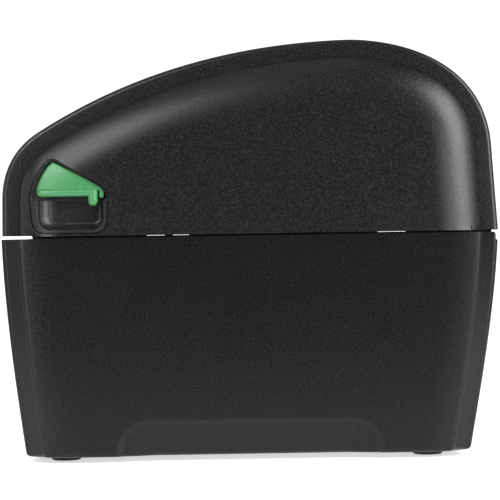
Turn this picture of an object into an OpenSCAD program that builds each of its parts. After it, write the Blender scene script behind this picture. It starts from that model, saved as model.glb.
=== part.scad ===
// Two-inch desktop label printer, empty, lid closed, standing on its four feet.
// Millimetres. +Z is up, the front with the label slot faces -Y, the user's right side is +X.

/* [Housing] */
// depth at the seam, front to rear
depth = 204.6; // [202:0.2:208]
// overall height from the table to the crest of the lid
height = 172; // [170:0.5:175]
// overall width over both side panels
width = 108; // [107:0.5:112]
// height of the middle of the seam between lid and base
seam_z = 92.4; // [92:0.1:92.8]
// open gap between the rims of lid and base
seam_gap = 0.8; // [0.6:0.1:1]
// wall thickness of the mouldings
wall = 2.4; // [2:0.1:2.6]
// flat band between the outline and the edge of a side panel
panel_inset = 7.4; // [7:0.1:8]
// rounding of the edge between the band and the outline
edge_radius = 2; // [1:0.1:2.4]
// radius of the crowned edge of the lid's side panels
lid_crown_radius = 20; // [18:0.5:22]
// slope at which the lid's side panels meet the band, in degrees
lid_crown_angle = 50; // [45:1:52]
// radius of the gentle crown of the base's side panels
base_crown_radius = 61; // [55:1:70]
// slope at which the base's side panels meet their step wall, in degrees
base_crown_angle = 19; // [16:1:20]
// how far the base's panels stay inside the lid's
base_panel_setback = 0.2; // [0:0.1:0.6]

/* [Feet and grip] */
// diameter of a rubber foot
foot_diameter = 12.5; // [10:0.5:14]
// height of the feet below the bottom plate
foot_height = 2.3; // [2:0.1:3]
// distance of the front feet from the middle
front_foot_y = 77.7; // [76:0.1:79]
// distance of the rear feet from the middle
rear_foot_y = 72.7; // [70:0.1:74]
// distance of the feet from the middle plane
foot_x = 35.2; // [33:0.1:35.4]
// height of the finger recess in the side panels above the table
grip_top = 15.5; // [13:0.5:17]
// corner radius of the finger recess
grip_corner = 12; // [8:0.5:12]
// depth of the finger recess
grip_depth = 6; // [4.5:0.5:6.5]

/* [Roll bay] */
// radius of the round bay that takes the label roll
bay_radius = 66; // [64:0.5:66]
// half of the bay's clear width
bay_half_width = 42; // [41:0.5:42]
// position of the roll's axis, front to rear
roll_y = 8; // [7:0.5:9]
// height of the roll's axis
roll_z = 97; // [96.5:0.5:97.5]
// half of the distance between the roll guides when they are wide open
guide_half_gap = 30.5; // [29:0.5:31]
// diameter of the hub that enters the roll's core
hub_diameter = 24; // [20:1:25]

/* [Print unit] */
// outer diameter of the rubber platen roller
platen_diameter = 15; // [14:0.1:15]
// length of the rubber on the platen
platen_length = 62; // [58:1:62]
// position of the platen's axis, front to rear
platen_y = -81; // [-81.5:0.1:-80.5]
// height of the platen's axis
platen_z = 84.8; // [84.6:0.1:84.8]
// diameter of the platen's steel shaft
shaft_diameter = 6; // [5:0.5:6]
// tooth size of the drive gears
gear_module = 0.8; // [0.8:0.1:0.8]
// teeth of the gear on the platen
platen_teeth = 18; // [18:1:18]
// teeth of the small gear on the idler
idler_small_teeth = 16; // [16:1:16]
// teeth of the large gear on the idler
idler_large_teeth = 40; // [40:1:40]
// teeth of the motor pinion
motor_teeth = 14; // [14:1:14]
// diameter of the stepping motor
motor_diameter = 42; // [38:1:42]
// diameter of the pin on which the print head tilts
head_pin_diameter = 3; // [2.5:0.5:3]

/* [Latch] */
// position of the latch shaft, front to rear
latch_y = -79.8; // [-80:0.1:-79.6]
// height of the latch shaft
latch_z = 119.2; // [119:0.1:119.4]
// diameter of the latch shaft
latch_shaft_diameter = 5; // [4:0.5:5]
// thickness of the green lever plates
lever_thickness = 3; // [2.5:0.1:3]
// diameter of the bead along the lever's lower edge
bead_diameter = 3.2; // [2.8:0.1:3.4]

/* [Hinge] */
// position of the lid's hinge axis, front to rear
hinge_y = 98.4; // [98.3:0.1:98.5]
// height of the lid's hinge axis
hinge_z = 88.4; // [88.3:0.1:88.5]
// outer radius of the hinge knuckles
knuckle_radius = 2.8; // [2.6:0.1:2.8]
// diameter of the hinge pins
hinge_pin_diameter = 2.4; // [2:0.1:2.4]

/* [Hidden] */
// running clearance on the radius of shafts and pins
running_gap = 0.06;
// gap between neighbouring fixed parts
fit_gap = 0.3;
front = -depth / 2;
rear = depth / 2;
seam_low = seam_z - seam_gap / 2;
seam_high = seam_z + seam_gap / 2;
half_width = width / 2;
lid_crown_drop = lid_crown_radius * (1 - cos(lid_crown_angle));
slab_half = half_width - lid_crown_drop;
base_crown_drop = base_crown_radius * (1 - cos(base_crown_angle));
base_panel_top = half_width - base_panel_setback;
slab_inner = slab_half - wall;
curve_steps = 11;
button_y = -72;
button_slope = 27.7;
button_z = height - 28.6;
button_diameter = 14;
exit_rear_y = front + 12.8;
plate_x = 34;
plate_thickness = 1.2;
hook_x = 36;
hook_thickness = 2.8;
gear_x = -43.4;
gear_width = 3.6;
idler_angle = -80;
motor_angle = -75;
idler_y = platen_y + gear_distance(platen_teeth, idler_small_teeth) * cos(idler_angle);
idler_z = platen_z + gear_distance(platen_teeth, idler_small_teeth) * sin(idler_angle);
motor_y = idler_y + gear_distance(idler_large_teeth, motor_teeth) * cos(motor_angle);
motor_z = idler_z + gear_distance(idler_large_teeth, motor_teeth) * sin(motor_angle);
rack_z = 25;
rack_thickness = 3;
rack_module = 1;
guide_teeth = 12;
board_z = 12;
board_thickness = 1.6;
socket_z = board_z + board_thickness;
// axis and pivots of the power switch's rocker
switch_z = 22.5;
switch_pivot_diameter = 3;
panel_y = 86.2;
panel_low = 8.4;
catch_y = -72;
catch_z = 94.6;
spring_x = 17.6;
head_pin_y = -66;
head_pin_z = 103;
// bosses of the lid: X and Y at the foot, then Y and Z at the top
lid_bosses = [[39.8, -63, -63, 145.9], [38.5, 84, 75, 162.5]];
$fn = 64;

black = [0.13, 0.135, 0.14];
glossy_black = [0.07, 0.07, 0.075];
inner_black = [0.17, 0.175, 0.18];
rubber = [0.09, 0.09, 0.09];
steel = [0.68, 0.69, 0.7];
green = [0.45, 0.75, 0.52];

// distance between the axes of two meshing gears
function gear_distance(teeth_a, teeth_b) = gear_module * (teeth_a + teeth_b) / 2;

// point of a cubic curve
function curve_point(p, t) =
    pow(1 - t, 3) * p[0] + 3 * pow(1 - t, 2) * t * p[1] + 3 * (1 - t) * t * t * p[2] + pow(t, 3) * p[3];

// points along a cubic curve, its last point left out
function curve(p, steps) = [for (i = [0 : steps - 1]) curve_point(p, i / steps)];

// the four curves of the side view, front and top first
nose_curve = [[front + 0.6, seam_high + 15.2], [front + 0.7, seam_high + 27.3],
              [front + 5.9, height - 41.9], [front + 17, height - 35.5]];
top_curve = [nose_curve[3], [-44.7, height - 10.4], [-0.8, height - 0.8], [41.4, height]];
rear_curve = [top_curve[3], [57.4, height], [rear - 6.1, height - 5.9], [rear - 2.4, height - 42.6]];
base_front_curve = [[front, seam_z], [front + 0.9, 62], [front + 5.1, 30], [front + 9.3, foot_height]];
base_rear_curve = [[rear, seam_z], [rear - 1.4, 62], [rear - 7.7, 30], [rear - 13.1, foot_height]];

// extrudes a drawing of the side view along X
module across(x_low, x_high) {
    translate([x_low, 0, 0])
        rotate([90, 0, 90])
            linear_extrude(height = x_high - x_low)
                children();
}

// the same on the right side and mirrored on the left side
module both_sides() {
    children();
    mirror([1, 0, 0])
        children();
}

// round bar along X
module bar(x_low, x_high, y, z, diameter) {
    translate([x_low, y, z])
        rotate([0, 90, 0])
            cylinder(d = diameter, h = x_high - x_low);
}

// box between two corners
module block(low, high) {
    translate(low)
        cube(high - low);
}

// outline of the lid in the side view, carried on below the seam
module lid_outline(steps = curve_steps) {
    polygon(concat(
        [[front, seam_z - 40]],
        curve(nose_curve, steps),
        curve(top_curve, steps * 1.5),
        curve(rear_curve, steps * 2),
        [rear_curve[3], [rear, seam_high], [rear, seam_z - 40]]));
}

// outline of the base in the side view, carried on above the seam and below the table
module base_outline() {
    polygon(concat(
        [[front, seam_z + 40]],
        curve(base_front_curve, curve_steps),
        [[front + 12.6, -25]],
        [[rear - 18.4, -25]],
        [for (i = [curve_steps : -1 : 0]) curve_point(base_rear_curve, i / curve_steps)],
        [[rear, seam_z + 40]]));
}

// convex body through layers of the side view; a layer is its X, its inset and the lift of its lower edge
module layered(layers, low, high) {
    middle = (low + high) / 2;
    hull()
        for (layer = layers)
            translate([layer[0], 0, middle])
                rotate([90, 0, 90])
                    mirror([0, 0, layer[0] < 0 ? 1 : 0])
                        linear_extrude(height = 0.01, scale = 0.9995)
                            translate([0, -middle])
                                intersection() {
                                    offset(delta = -layer[1])
                                        children();
                                    translate([-depth, low + layer[2]])
                                        square([2 * depth, high - low - layer[2]]);
                                }
}

// layers of the middle slab with its rounded edges, both ways from the middle plane
function slab_layers(half, radius, inset, steps) = [
    for (side = [-1, 1])
        for (angle = [0 : 90 / steps : 90])
            [side * (half - radius + radius * sin(angle)), inset + radius * (1 - cos(angle)), 0]];

// layers of a crowned side panel; the first one lies inside the slab
function panel_layers(foot, step, radius, slope, inset, lift, steps) = concat(
    [[foot - 1, inset, 0]],
    [for (i = [0 : steps])
        let (angle = slope * (1 - i / steps))
            [foot + step + radius * (cos(angle) - cos(slope)),
             inset + radius * (sin(slope) - sin(angle)),
             lift * pow(i / steps, 3)]]);

// the lid's form, or the hollow inside it when an inset is given
module lid_body(inset, low, steps) {
    outline_steps = inset > 0 ? curve_steps - 5 : curve_steps;
    layered(slab_layers(slab_half - inset, edge_radius, inset, steps / 2), low, height + 1)
        lid_outline(outline_steps);
    both_sides()
        layered(panel_layers(slab_half - inset, 0, lid_crown_radius, lid_crown_angle,
                             panel_inset + inset, 0.5, steps), low, height + 1)
            lid_outline(outline_steps);
}

// the base's form, or the hollow inside it when an inset is given
module base_body(inset, slab_low, panel_low, high, steps) {
    layered(slab_layers(slab_half - inset, edge_radius, inset, steps / 2), slab_low, high)
        base_outline();
    both_sides()
        layered(panel_layers(slab_half - inset, base_panel_top - base_crown_drop - slab_half,
                             base_crown_radius, base_crown_angle, panel_inset + inset, 1.5, steps),
                panel_low, high)
            base_outline();
}

// the label slot at the front, open across the whole width, its rear end slanted
module exit_slot() {
    across(-width, width)
        polygon([[front - 5, 91.3], [exit_rear_y - 0.4, 91.3], [exit_rear_y + 0.4, 93.4], [front - 5, 93.4]]);
}

// the finger recess at the bottom of a side panel
module grip_recess() {
    hull()
        for (i = [0 : 4])
            let (angle = i * 22.5)
                across(half_width - grip_depth * cos(angle) - 0.005, half_width - grip_depth * cos(angle) + 0.5)
                    translate([-1.85, grip_top - 40])
                        offset(r = grip_corner - 4 * (1 - sin(angle)))
                            square([107.7 - 2 * grip_corner, 80 - 2 * grip_corner], center = true);
}

// the inner lip of the base that bridges the seam, with the gaps that let light through
module seam_lip() {
    difference() {
        block([slab_half + 1.9, -55, seam_low - 8], [slab_half + 3.3, 81, seam_high + 1.6]);
        block([slab_half, -42.3, seam_low], [half_width, -34.9, seam_high + 3]);
        block([slab_half, -31.6, seam_low], [half_width, -24.7, seam_high + 3]);
        block([slab_half, 52.2, seam_low], [half_width, 63.7, seam_high + 3]);
    }
    block([slab_half + 1.9, -55, seam_low - 9], [slab_half + 5, 81, seam_low - 6]);
}

module base_housing() {
    color(black) {
        difference() {
            base_body(0, foot_height, foot_height, seam_low, 8);
            base_body(wall, foot_height + wall, 24, seam_z + 10, 4);
            block([-42, -85.5, 0], [42, 80, 10]);
            exit_slot();
            both_sides()
                grip_recess();
            across(-width, width)
                polygon([[rear - 1.9, seam_low], [rear - 1.2, seam_low - 0.7], [rear - 1.2, 89.2],
                         [rear + 1, 87], [rear + 5, 87], [rear + 5, seam_z + 4], [rear - 1.9, seam_z + 4]]);
            both_sides()
                block([19.5, 94, 85], [40.5, rear + 5, seam_z + 4]);
            block([-42, 80, 9], [42, rear + 5, 35]);
        }
        both_sides()
            seam_lip();
    }
}

module bottom_plate() {
    color(inner_black)
        difference() {
            union() {
                block([-41.7, -85.2, foot_height], [41.7, 79.7, foot_height + wall + 0.2]);
                difference() {
                    block([-42.5, -87, foot_height + wall + 0.2], [42.5, 82, foot_height + wall + 1.6]);
                    for (x = [-1, 1])
                        for (y = [-front_foot_y, rear_foot_y])
                            translate([x * foot_x, y, 0])
                                cylinder(d = 5, h = 10);
                }
                for (x = [-1, 1])
                    for (y = [-28, 70])
                        translate([x * 34, y, foot_height + wall])
                            cylinder(d = 7, h = board_z - foot_height - wall - 0.02);
            }
            for (x = [-1, 1])
                for (y = [-front_foot_y, rear_foot_y])
                    translate([x * foot_x, y, 0])
                        cylinder(d = foot_diameter - 3 + 0.2, h = foot_height + 1.5);
            for (x = [-1, 1])
                for (y = [-62, 58])
                    translate([x * 30, y, 0]) {
                        cylinder(d = 6.2, h = foot_height + 1.6);
                        cylinder(d = 3.2, h = 12);
                    }
            for (i = [-4 : 4])
                block([i * 6 - 1.2, -20, 0], [i * 6 + 1.2, 20, 12]);
            for (x = [-1, 1])
                for (y = [-28, 70])
                    translate([x * 34, y, foot_height + wall + 1.6])
                        cylinder(d = 2.4, h = 12);
        }
}

module rubber_feet() {
    color(rubber)
        for (x = [-1, 1])
            for (y = [-front_foot_y, rear_foot_y])
                translate([x * foot_x, y, 0]) {
                    cylinder(d1 = foot_diameter - 1, d2 = foot_diameter, h = 0.6);
                    translate([0, 0, 0.6])
                        cylinder(d = foot_diameter, h = foot_height - 0.6 - 0.02);
                    translate([0, 0, foot_height - 0.1])
                        cylinder(d = foot_diameter - 3, h = 1.5);
                }
}

// pan-head screw pointing up, its head's underside at the origin
module screw(head, shank, length) {
    difference() {
        translate([0, 0, -head * 0.35])
            cylinder(d1 = head * 0.8, d2 = head, h = head * 0.35);
        translate([0, 0, -head * 0.35 - 0.1])
            for (turn = [0, 90])
                rotate([0, 0, turn])
                    translate([-head * 0.3, -0.35, 0])
                        cube([head * 0.6, 0.7, head * 0.2]);
    }
    cylinder(d = shank, h = length);
}

module bottom_screws() {
    color(steel)
        for (x = [-1, 1])
            for (y = [-62, 58])
                translate([x * 30, y, foot_height + 1.5])
                    screw(5, 2.6, 7);
}

module rear_panel() {
    color(inner_black) {
        difference() {
            block([-42.3, panel_y, panel_low], [42.3, panel_y + 1.6, 36.5]);
            block([-36.8, panel_y - 1, 11.8], [-21.2, panel_y + 3, 33.2]);
            translate([-11, panel_y - 1, socket_z + 6])
                rotate([-90, 0, 0])
                    cylinder(d = 10.6, h = 5);
            block([-1.3, panel_y - 1, socket_z - 0.3], [11.3, panel_y + 3, socket_z + 11.4]);
            block([16.2, panel_y - 1, socket_z - 0.3], [37.8, panel_y + 3, socket_z + 11.4]);
            for (x = [-39.3, 39.4])
                translate([x, panel_y - 1, 22])
                    rotate([-90, 0, 0])
                        cylinder(d = 2.6, h = 5);
        }
        difference() {
            intersection() {
                block([-42.3, panel_y + 1.6, panel_low], [42.3, rear, 36.5]);
                across(-60, 60)
                    offset(delta = -wall - 0.1)
                        base_outline();
            }
            block([-41.1, panel_y, panel_low + 1], [41.1, rear + 5, 35.3]);
        }
    }
}

module panel_screws() {
    color(steel)
        for (x = [-39.3, 39.4])
            translate([x, panel_y + 1.65, 22])
                rotate([90, 0, 0])
                    screw(3.2, 2.2, 5);
}

module main_board() {
    color([0.1, 0.32, 0.16])
        difference() {
            block([-40, -34, board_z], [40, 84, socket_z]);
            block([-41, 76.8, board_z - 1], [-20.6, 90, socket_z + 1]);
            for (x = [-1, 1])
                for (y = [-28, 70])
                    translate([x * 34, y, 0])
                        cylinder(d = 3, h = 30);
        }
}

module board_parts() {
    color([0.2, 0.2, 0.21]) {
        block([-12, 14, socket_z + 0.02], [6, 32, socket_z + 1.8]);
        block([14, 20, socket_z + 0.02], [24, 30, socket_z + 1.4]);
        block([-34, 0, socket_z + 0.02], [-24, 14, socket_z + 1.2]);
        block([-30, 36, socket_z + 0.02], [-18, 48, socket_z + 5]);
        for (x = [14, 26])
            translate([x, 52, socket_z + 0.02])
                cylinder(d = 8, h = 10);
        translate([-6, 56, socket_z + 0.02])
            cylinder(d = 10, h = 6);
        for (i = [0 : 2])
            block([14 + i * 8, -32, socket_z + 0.02], [20 + i * 8, -26, socket_z + 7]);
    }
}

module usb_socket() {
    color(steel)
        difference() {
            block([-1, 72, socket_z + 0.02], [11, panel_y + 2, socket_z + 11]);
            block([0.6, 73, socket_z + 1.6], [9.4, panel_y + 3, socket_z + 9.4]);
        }
    color([0.85, 0.85, 0.83])
        block([2.2, 72.5, socket_z + 4], [7.8, panel_y + 0.5, socket_z + 7.2]);
}

module power_socket() {
    color(rubber)
        difference() {
            union() {
                block([-16, 73, socket_z + 0.02], [-6, panel_y - 0.1, socket_z + 11.4]);
                translate([-11, panel_y - 0.5, socket_z + 6])
                    rotate([-90, 0, 0])
                        cylinder(d = 10, h = 3);
            }
            translate([-11, 75, socket_z + 6])
                rotate([-90, 0, 0])
                    cylinder(d = 6.4, h = 20);
        }
    color(steel)
        translate([-11, 74.5, socket_z + 6])
            rotate([-90, 0, 0])
                cylinder(d = 2, h = panel_y - 74);
}

module serial_socket() {
    color(steel)
        difference() {
            union() {
                block([16.8, panel_y - 6, socket_z + 0.02], [37.2, panel_y - 0.1, socket_z + 11]);
                across(18, 36)
                    translate([panel_y - 1, socket_z + 1.4])
                        square([6, 8.4]);
            }
            block([19, panel_y - 1, socket_z + 2.3], [35, panel_y + 8, socket_z + 8.9]);
        }
    color(rubber)
        for (i = [0 : 4])
            translate([21.5 + i * 2.75, panel_y - 1.5, socket_z + 7])
                rotate([-90, 0, 0])
                    cylinder(d = 1, h = 5);
    color(rubber)
        for (i = [0 : 3])
            translate([22.9 + i * 2.75, panel_y - 1.5, socket_z + 4.2])
                rotate([-90, 0, 0])
                    cylinder(d = 1, h = 5);
}

module switch_frame() {
    color(glossy_black)
        difference() {
            union() {
                block([-36.6, panel_y - 9, 12], [-21.4, panel_y + 1.5, 33]);
                block([-37.5, panel_y + 1.62, 10.6], [-20.5, panel_y + 3, 34.4]);
            }
            block([-35.2, panel_y - 7.5, 13.6], [-22.8, panel_y + 5, 31.4]);
            bar(-36.2, -21.8, panel_y - 2, switch_z, switch_pivot_diameter + 2 * running_gap);
        }
}

// rocker on two short round pivots in the sides of its frame
module switch_rocker() {
    color(glossy_black) {
        across(-34.9, -23.1)
            polygon([[panel_y - 1, 14], [panel_y + 1, 14], [panel_y + 2, 22.5], [panel_y + 4.4, 30],
                     [panel_y + 1.6, 30], [panel_y - 3, 24.5], [panel_y - 3, 20.5]]);
        bar(-36, -22, panel_y - 2, switch_z, switch_pivot_diameter);
    }
}

// the bay for the roll's lower half, with the deck around it
module media_tub() {
    color(inner_black)
        difference() {
            union() {
                intersection() {
                    bar(-bay_half_width - 1.8, bay_half_width + 1.8, roll_y, roll_z, 2 * (bay_radius + 2));
                    block([-60, -90, 0], [60, 95, 88.6]);
                }
                block([-slab_inner + 0.5, -70, 86.6], [slab_inner - 0.5, 94, 88.6]);
            }
            bar(-bay_half_width, bay_half_width, roll_y, roll_z, 2 * bay_radius);
            block([-40.5, -71, 80], [40.5, -59.9, 95]);
            both_sides()
                block([9.5, roll_y - 5.3, 20], [bay_half_width - 3.5, roll_y + 5.3, 45]);
        }
}

// the smooth deck that leads the labels from the bay to the platen
module label_deck() {
    color(inner_black) {
        difference() {
            across(-33, 33)
                polygon([[-72, 84], [-60, 84], [-60, 87.5], [-62.5, 90.6], [-72.6, 91.4], [-72.8, 90.2]]);
            block([-5.3, -70.3, 80], [5.3, -64.7, 95]);
        }
        both_sides()
            block([24, -70, 78], [33, -61, 85]);
    }
}

module label_sensor() {
    color(glossy_black)
        block([-5, -70, 85], [5, -65, 91.3]);
}

// side view of the left and right plates of the print frame
module frame_plate_outline(low) {
    polygon([[-91, low], [-60.4, low], [-60.4, 80], [-69, 83.5], [-69, 96.5], [-75, 96.5],
             [-75, 90], [-78, 88], [-88, 88], [-91, 84]]);
}

module print_frame() {
    color(steel)
        difference() {
            union() {
                across(-plate_x - plate_thickness, -plate_x)
                    frame_plate_outline(28);
                across(plate_x, plate_x + plate_thickness)
                    frame_plate_outline(62);
                block([-plate_x, -91, 72.8], [plate_x, -60.4, 74]);
            }
            bar(-50, 50, platen_y, platen_z, 10);
            bar(-50, 0, idler_y, idler_z, 4);
            bar(-50, 0, motor_y, motor_z, 12);
            bar(-50, 50, catch_y, catch_z, 3);
        }
}

module frame_bushes() {
    color([0.75, 0.72, 0.66])
        both_sides()
            difference() {
                union() {
                    bar(plate_x - 0.02, plate_x + plate_thickness + 0.4, platen_y, platen_z, 9.9);
                    bar(plate_x - 1.5, plate_x - 0.02, platen_y, platen_z, 12);
                }
                bar(plate_x - 3, plate_x + 3, platen_y, platen_z, shaft_diameter + 2 * running_gap);
            }
}

module catch_pins() {
    color(steel)
        both_sides()
            bar(plate_x - 0.8, plate_x + 5.2, catch_y, catch_z, 3);
}

module idler_stud() {
    color(steel) {
        bar(gear_x - 0.9, -plate_x, idler_y, idler_z, 4);
        bar(gear_x - 0.9, gear_x - 0.2, idler_y, idler_z, 6);
    }
}

module motor_body() {
    color([0.45, 0.46, 0.47]) {
        bar(-plate_x + 0.05, -plate_x + 20, motor_y, motor_z, motor_diameter - 0.6);
        bar(-plate_x + 0.05, -plate_x + 1.2, motor_y, motor_z, motor_diameter);
        bar(-plate_x - 1.5, -plate_x + 0.1, motor_y, motor_z, 11.9);
    }
}

// roll angle of a circle's involute, in degrees, at a radius outside its base circle
function involute(radius, base) =
    radius <= base ? 0 : tan(acos(base / radius)) * 180 / PI - acos(base / radius);

// half of a tooth's angle at a radius
function tooth_angle(radius, teeth, size, slack) =
    let (pitch = size * teeth / 2, base = pitch * cos(20))
        90 / teeth - slack / pitch * 90 / PI + involute(pitch, base) - involute(max(radius, base), base);

// face of a spur gear with one tooth's middle on the positive X axis
module gear_face(teeth, size, slack) {
    pitch = size * teeth / 2;
    radii = [pitch - 1.2 * size, pitch - 0.45 * size, pitch, pitch + 0.45 * size, pitch + 0.85 * size];
    polygon([
        for (tooth = [0 : teeth - 1])
            for (side = [-1, 1])
                for (i = [0 : len(radii) - 1])
                    let (k = side < 0 ? i : len(radii) - 1 - i,
                         angle = 360 / teeth * tooth + side * tooth_angle(radii[k], teeth, size, slack))
                        radii[k] * [cos(angle), sin(angle)]]);
}

// gear whose axis runs along X, turned so that one tooth points in a given direction of the side view
module drive_gear(x_low, x_high, y, z, teeth, direction) {
    translate([0, y, z])
        across(x_low, x_high)
            rotate([0, 0, direction])
                gear_face(teeth, gear_module, 0.16);
}

module motor_pinion() {
    color([0.8, 0.75, 0.6])
        difference() {
            drive_gear(gear_x, gear_x + gear_width - 0.3, motor_y, motor_z, motor_teeth,
                       motor_angle + 180 + 180 / motor_teeth);
            bar(gear_x - 1, 0, motor_y, motor_z, 3);
        }
    color(steel)
        bar(gear_x - 0.2, -plate_x - 1.6, motor_y, motor_z, 3);
}

module idler_gear() {
    color([0.9, 0.9, 0.88])
        difference() {
            union() {
                drive_gear(gear_x, gear_x + gear_width / 2 - 0.1, idler_y, idler_z, idler_large_teeth, motor_angle);
                drive_gear(gear_x + gear_width / 2 - 0.1, gear_x + gear_width, idler_y, idler_z, idler_small_teeth,
                           idler_angle + 180 + 180 / idler_small_teeth);
            }
            bar(-50, 0, idler_y, idler_z, 4 + 2 * running_gap);
        }
}

module platen_shaft() {
    color(steel) {
        bar(gear_x + gear_width / 2 + 0.1, plate_x + 1.7, platen_y, platen_z, shaft_diameter);
    }
}

module platen_rubber() {
    color(rubber)
        difference() {
            bar(-platen_length / 2, platen_length / 2, platen_y, platen_z, platen_diameter);
            bar(-50, 50, platen_y, platen_z, shaft_diameter);
        }
}

module platen_gear() {
    color([0.9, 0.9, 0.88])
        difference() {
            drive_gear(gear_x + gear_width / 2 + 0.1, gear_x + gear_width, platen_y, platen_z, platen_teeth, idler_angle);
            bar(-50, 0, platen_y, platen_z, shaft_diameter);
        }
}

// upright arm with the hub for the roll's core
module guide_arm() {
    color(inner_black)
        difference() {
            union() {
                across(guide_half_gap, guide_half_gap + 3) {
                    polygon([[roll_y - 14, roll_z], [roll_y + 14, roll_z], [roll_y + 5, 29], [roll_y - 5, 29]]);
                    translate([roll_y, roll_z])
                        circle(r = 14);
                }
                translate([guide_half_gap - 5, roll_y, roll_z])
                    rotate([0, 90, 0])
                        cylinder(d1 = hub_diameter - 4, d2 = hub_diameter, h = 2);
                bar(guide_half_gap - 3, guide_half_gap, roll_y, roll_z, hub_diameter);
            }
            bar(0, 60, roll_y, roll_z, 10);
        }
}

// straight rack along X with its teeth towards -Y, its pitch line at Y = 0
module rack(x_low, x_high) {
    pitch = PI * rack_module;
    count = floor((x_high - x_low) / pitch);
    root = 1.2 * rack_module;
    tip = 0.85 * rack_module;
    half = pitch / 4 - 0.1;
    linear_extrude(height = rack_thickness) {
        translate([x_low, root])
            square([x_high - x_low, 3]);
        for (i = [0 : count - 1])
            translate([x_low + (i + 0.5) * pitch, 0])
                polygon([[-half - root * tan(20), root + 0.01], [-half + tip * tan(20), -tip],
                         [half - tip * tan(20), -tip], [half + root * tan(20), root + 0.01]]);
    }
}

// one roll guide: arm, foot through the bay's floor and rack below it
module roll_guide() {
    pitch = PI * rack_module;
    guide_arm();
    color(inner_black) {
        block([guide_half_gap - 1, roll_y - 5, rack_z], [guide_half_gap + 4, roll_y + 5, 29]);
        translate([0, roll_y + rack_module * guide_teeth / 2, rack_z])
            rack(-3 * pitch, 10 * pitch);
    }
}

module guide_right() {
    roll_guide();
}

module guide_left() {
    translate([0, 2 * roll_y, 0])
        rotate([0, 0, 180])
            roll_guide();
}

module guide_pinion() {
    color([0.9, 0.9, 0.88])
        translate([0, roll_y, rack_z])
            difference() {
                linear_extrude(height = rack_thickness)
                    rotate([0, 0, 90])
                        gear_face(guide_teeth, rack_module, 0.2);
                translate([0, 0, -1])
                    cylinder(d = 4 + 2 * running_gap, h = 10);
            }
}

module guide_pinion_stud() {
    color(steel)
        translate([0, roll_y, rack_z - 1.2]) {
            cylinder(d = 7, h = 1);
            cylinder(d = 4, h = 29 - rack_z + 1.2);
        }
}

// base side of the two hinges
module hinge_mounts() {
    color(inner_black)
        both_sides()
            difference() {
                union() {
                    for (x = [20, 34])
                        across(x, x + 6) {
                            translate([hinge_y, hinge_z])
                                circle(r = knuckle_radius);
                            translate([hinge_y - knuckle_radius, hinge_z - 9])
                                square([3, 9]);
                        }
                    block([20, hinge_y - 3.6, hinge_z - 14], [40, hinge_y - knuckle_radius + 2, hinge_z - 6]);
                }
                bar(0, 60, hinge_y, hinge_z, hinge_pin_diameter);
            }
}

module hinge_pins() {
    color(steel)
        both_sides()
            bar(19.8, 40.2, hinge_y, hinge_z, hinge_pin_diameter);
}

// opening of the release lever and its finger pocket in the side view
function opening_points() = concat(
    curve([[-80.2, 125.2], [-83.6, 124.4], [-88.8, 118], [-90.2, 108.5]], 8),
    [[-90.2, 108.5], [-89.4, 98.6]],
    curve([[-89.3, 98.2], [-88.6, 95.2], [-86.6, 93.9], [-84, 93.8]], 6),
    [[-63, 93.8]],
    curve([[-62.9, 93.8], [-60.2, 93.9], [-58.2, 95.6], [-58, 98.6]], 6),
    [[-57.6, 107.6], [-57.9, 111.6]]);

module lever_opening() {
    offset(r = 1.4)
        offset(delta = -1.4)
            polygon(opening_points());
}

module lid_shell() {
    color(black)
        difference() {
            lid_body(0, seam_high, 8);
            lid_body(wall, seam_high - 10, 4);
            exit_slot();
            both_sides()
                across(slab_half - 6, width)
                    lever_opening();
            translate([0, button_y, button_z])
                rotate([button_slope, 0, 0])
                    translate([0, 0, -8])
                        cylinder(d = button_diameter + 4.4, h = 12, $fn = 48);
        }
    // tapered bosses for the screws that hold the liner
    color(black)
        for (x = [-1, 1])
            for (boss = lid_bosses)
                hull() {
                    translate([x * boss[0], boss[1], 96.1])
                        cylinder(d = 6, h = 1, $fn = 16);
                    translate([x * boss[0], boss[2], boss[3] - 1])
                        cylinder(d = 6, h = 1, $fn = 16);
                }
}

// the roof over the roll, with the rim that closes the space between it and the shell
module lid_liner() {
    color(inner_black)
        difference() {
            union() {
                intersection() {
                    bar(-bay_half_width - 1.8, bay_half_width + 1.8, roll_y, roll_z, 2 * (bay_radius + 2));
                    block([-60, -90, 94.2], [60, 95, 200]);
                }
                block([-slab_inner + 0.5, -58, 94.2], [slab_inner - 0.5, 95, 96]);
                both_sides()
                    block([36.2, -66, 94.2], [43.2, -57.9, 96]);
            }
            bar(-bay_half_width, bay_half_width, roll_y, roll_z, 2 * bay_radius);
            for (x = [-1, 1])
                for (boss = lid_bosses)
                    translate([x * boss[0], boss[1], 90])
                        cylinder(d = 2.8, h = 10);
        }
}

module lid_hinge_arms() {
    color(inner_black)
        both_sides()
            difference() {
                union() {
                    across(26.3, 33.7) {
                        translate([hinge_y, hinge_z])
                            circle(r = knuckle_radius);
                        translate([hinge_y - knuckle_radius, hinge_z])
                            square([knuckle_radius + 0.8, 14]);
                    }
                    block([24, hinge_y - 6, 96.1], [36, hinge_y + 0.4, 108]);
                }
                bar(0, 60, hinge_y, hinge_z, hinge_pin_diameter + 2 * running_gap);
            }
}

module lid_screws() {
    color(steel)
        for (x = [-1, 1])
            for (boss = lid_bosses)
                translate([x * boss[0], boss[1], 94.1])
                    screw(5, 2.6, 1.95);
}

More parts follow.
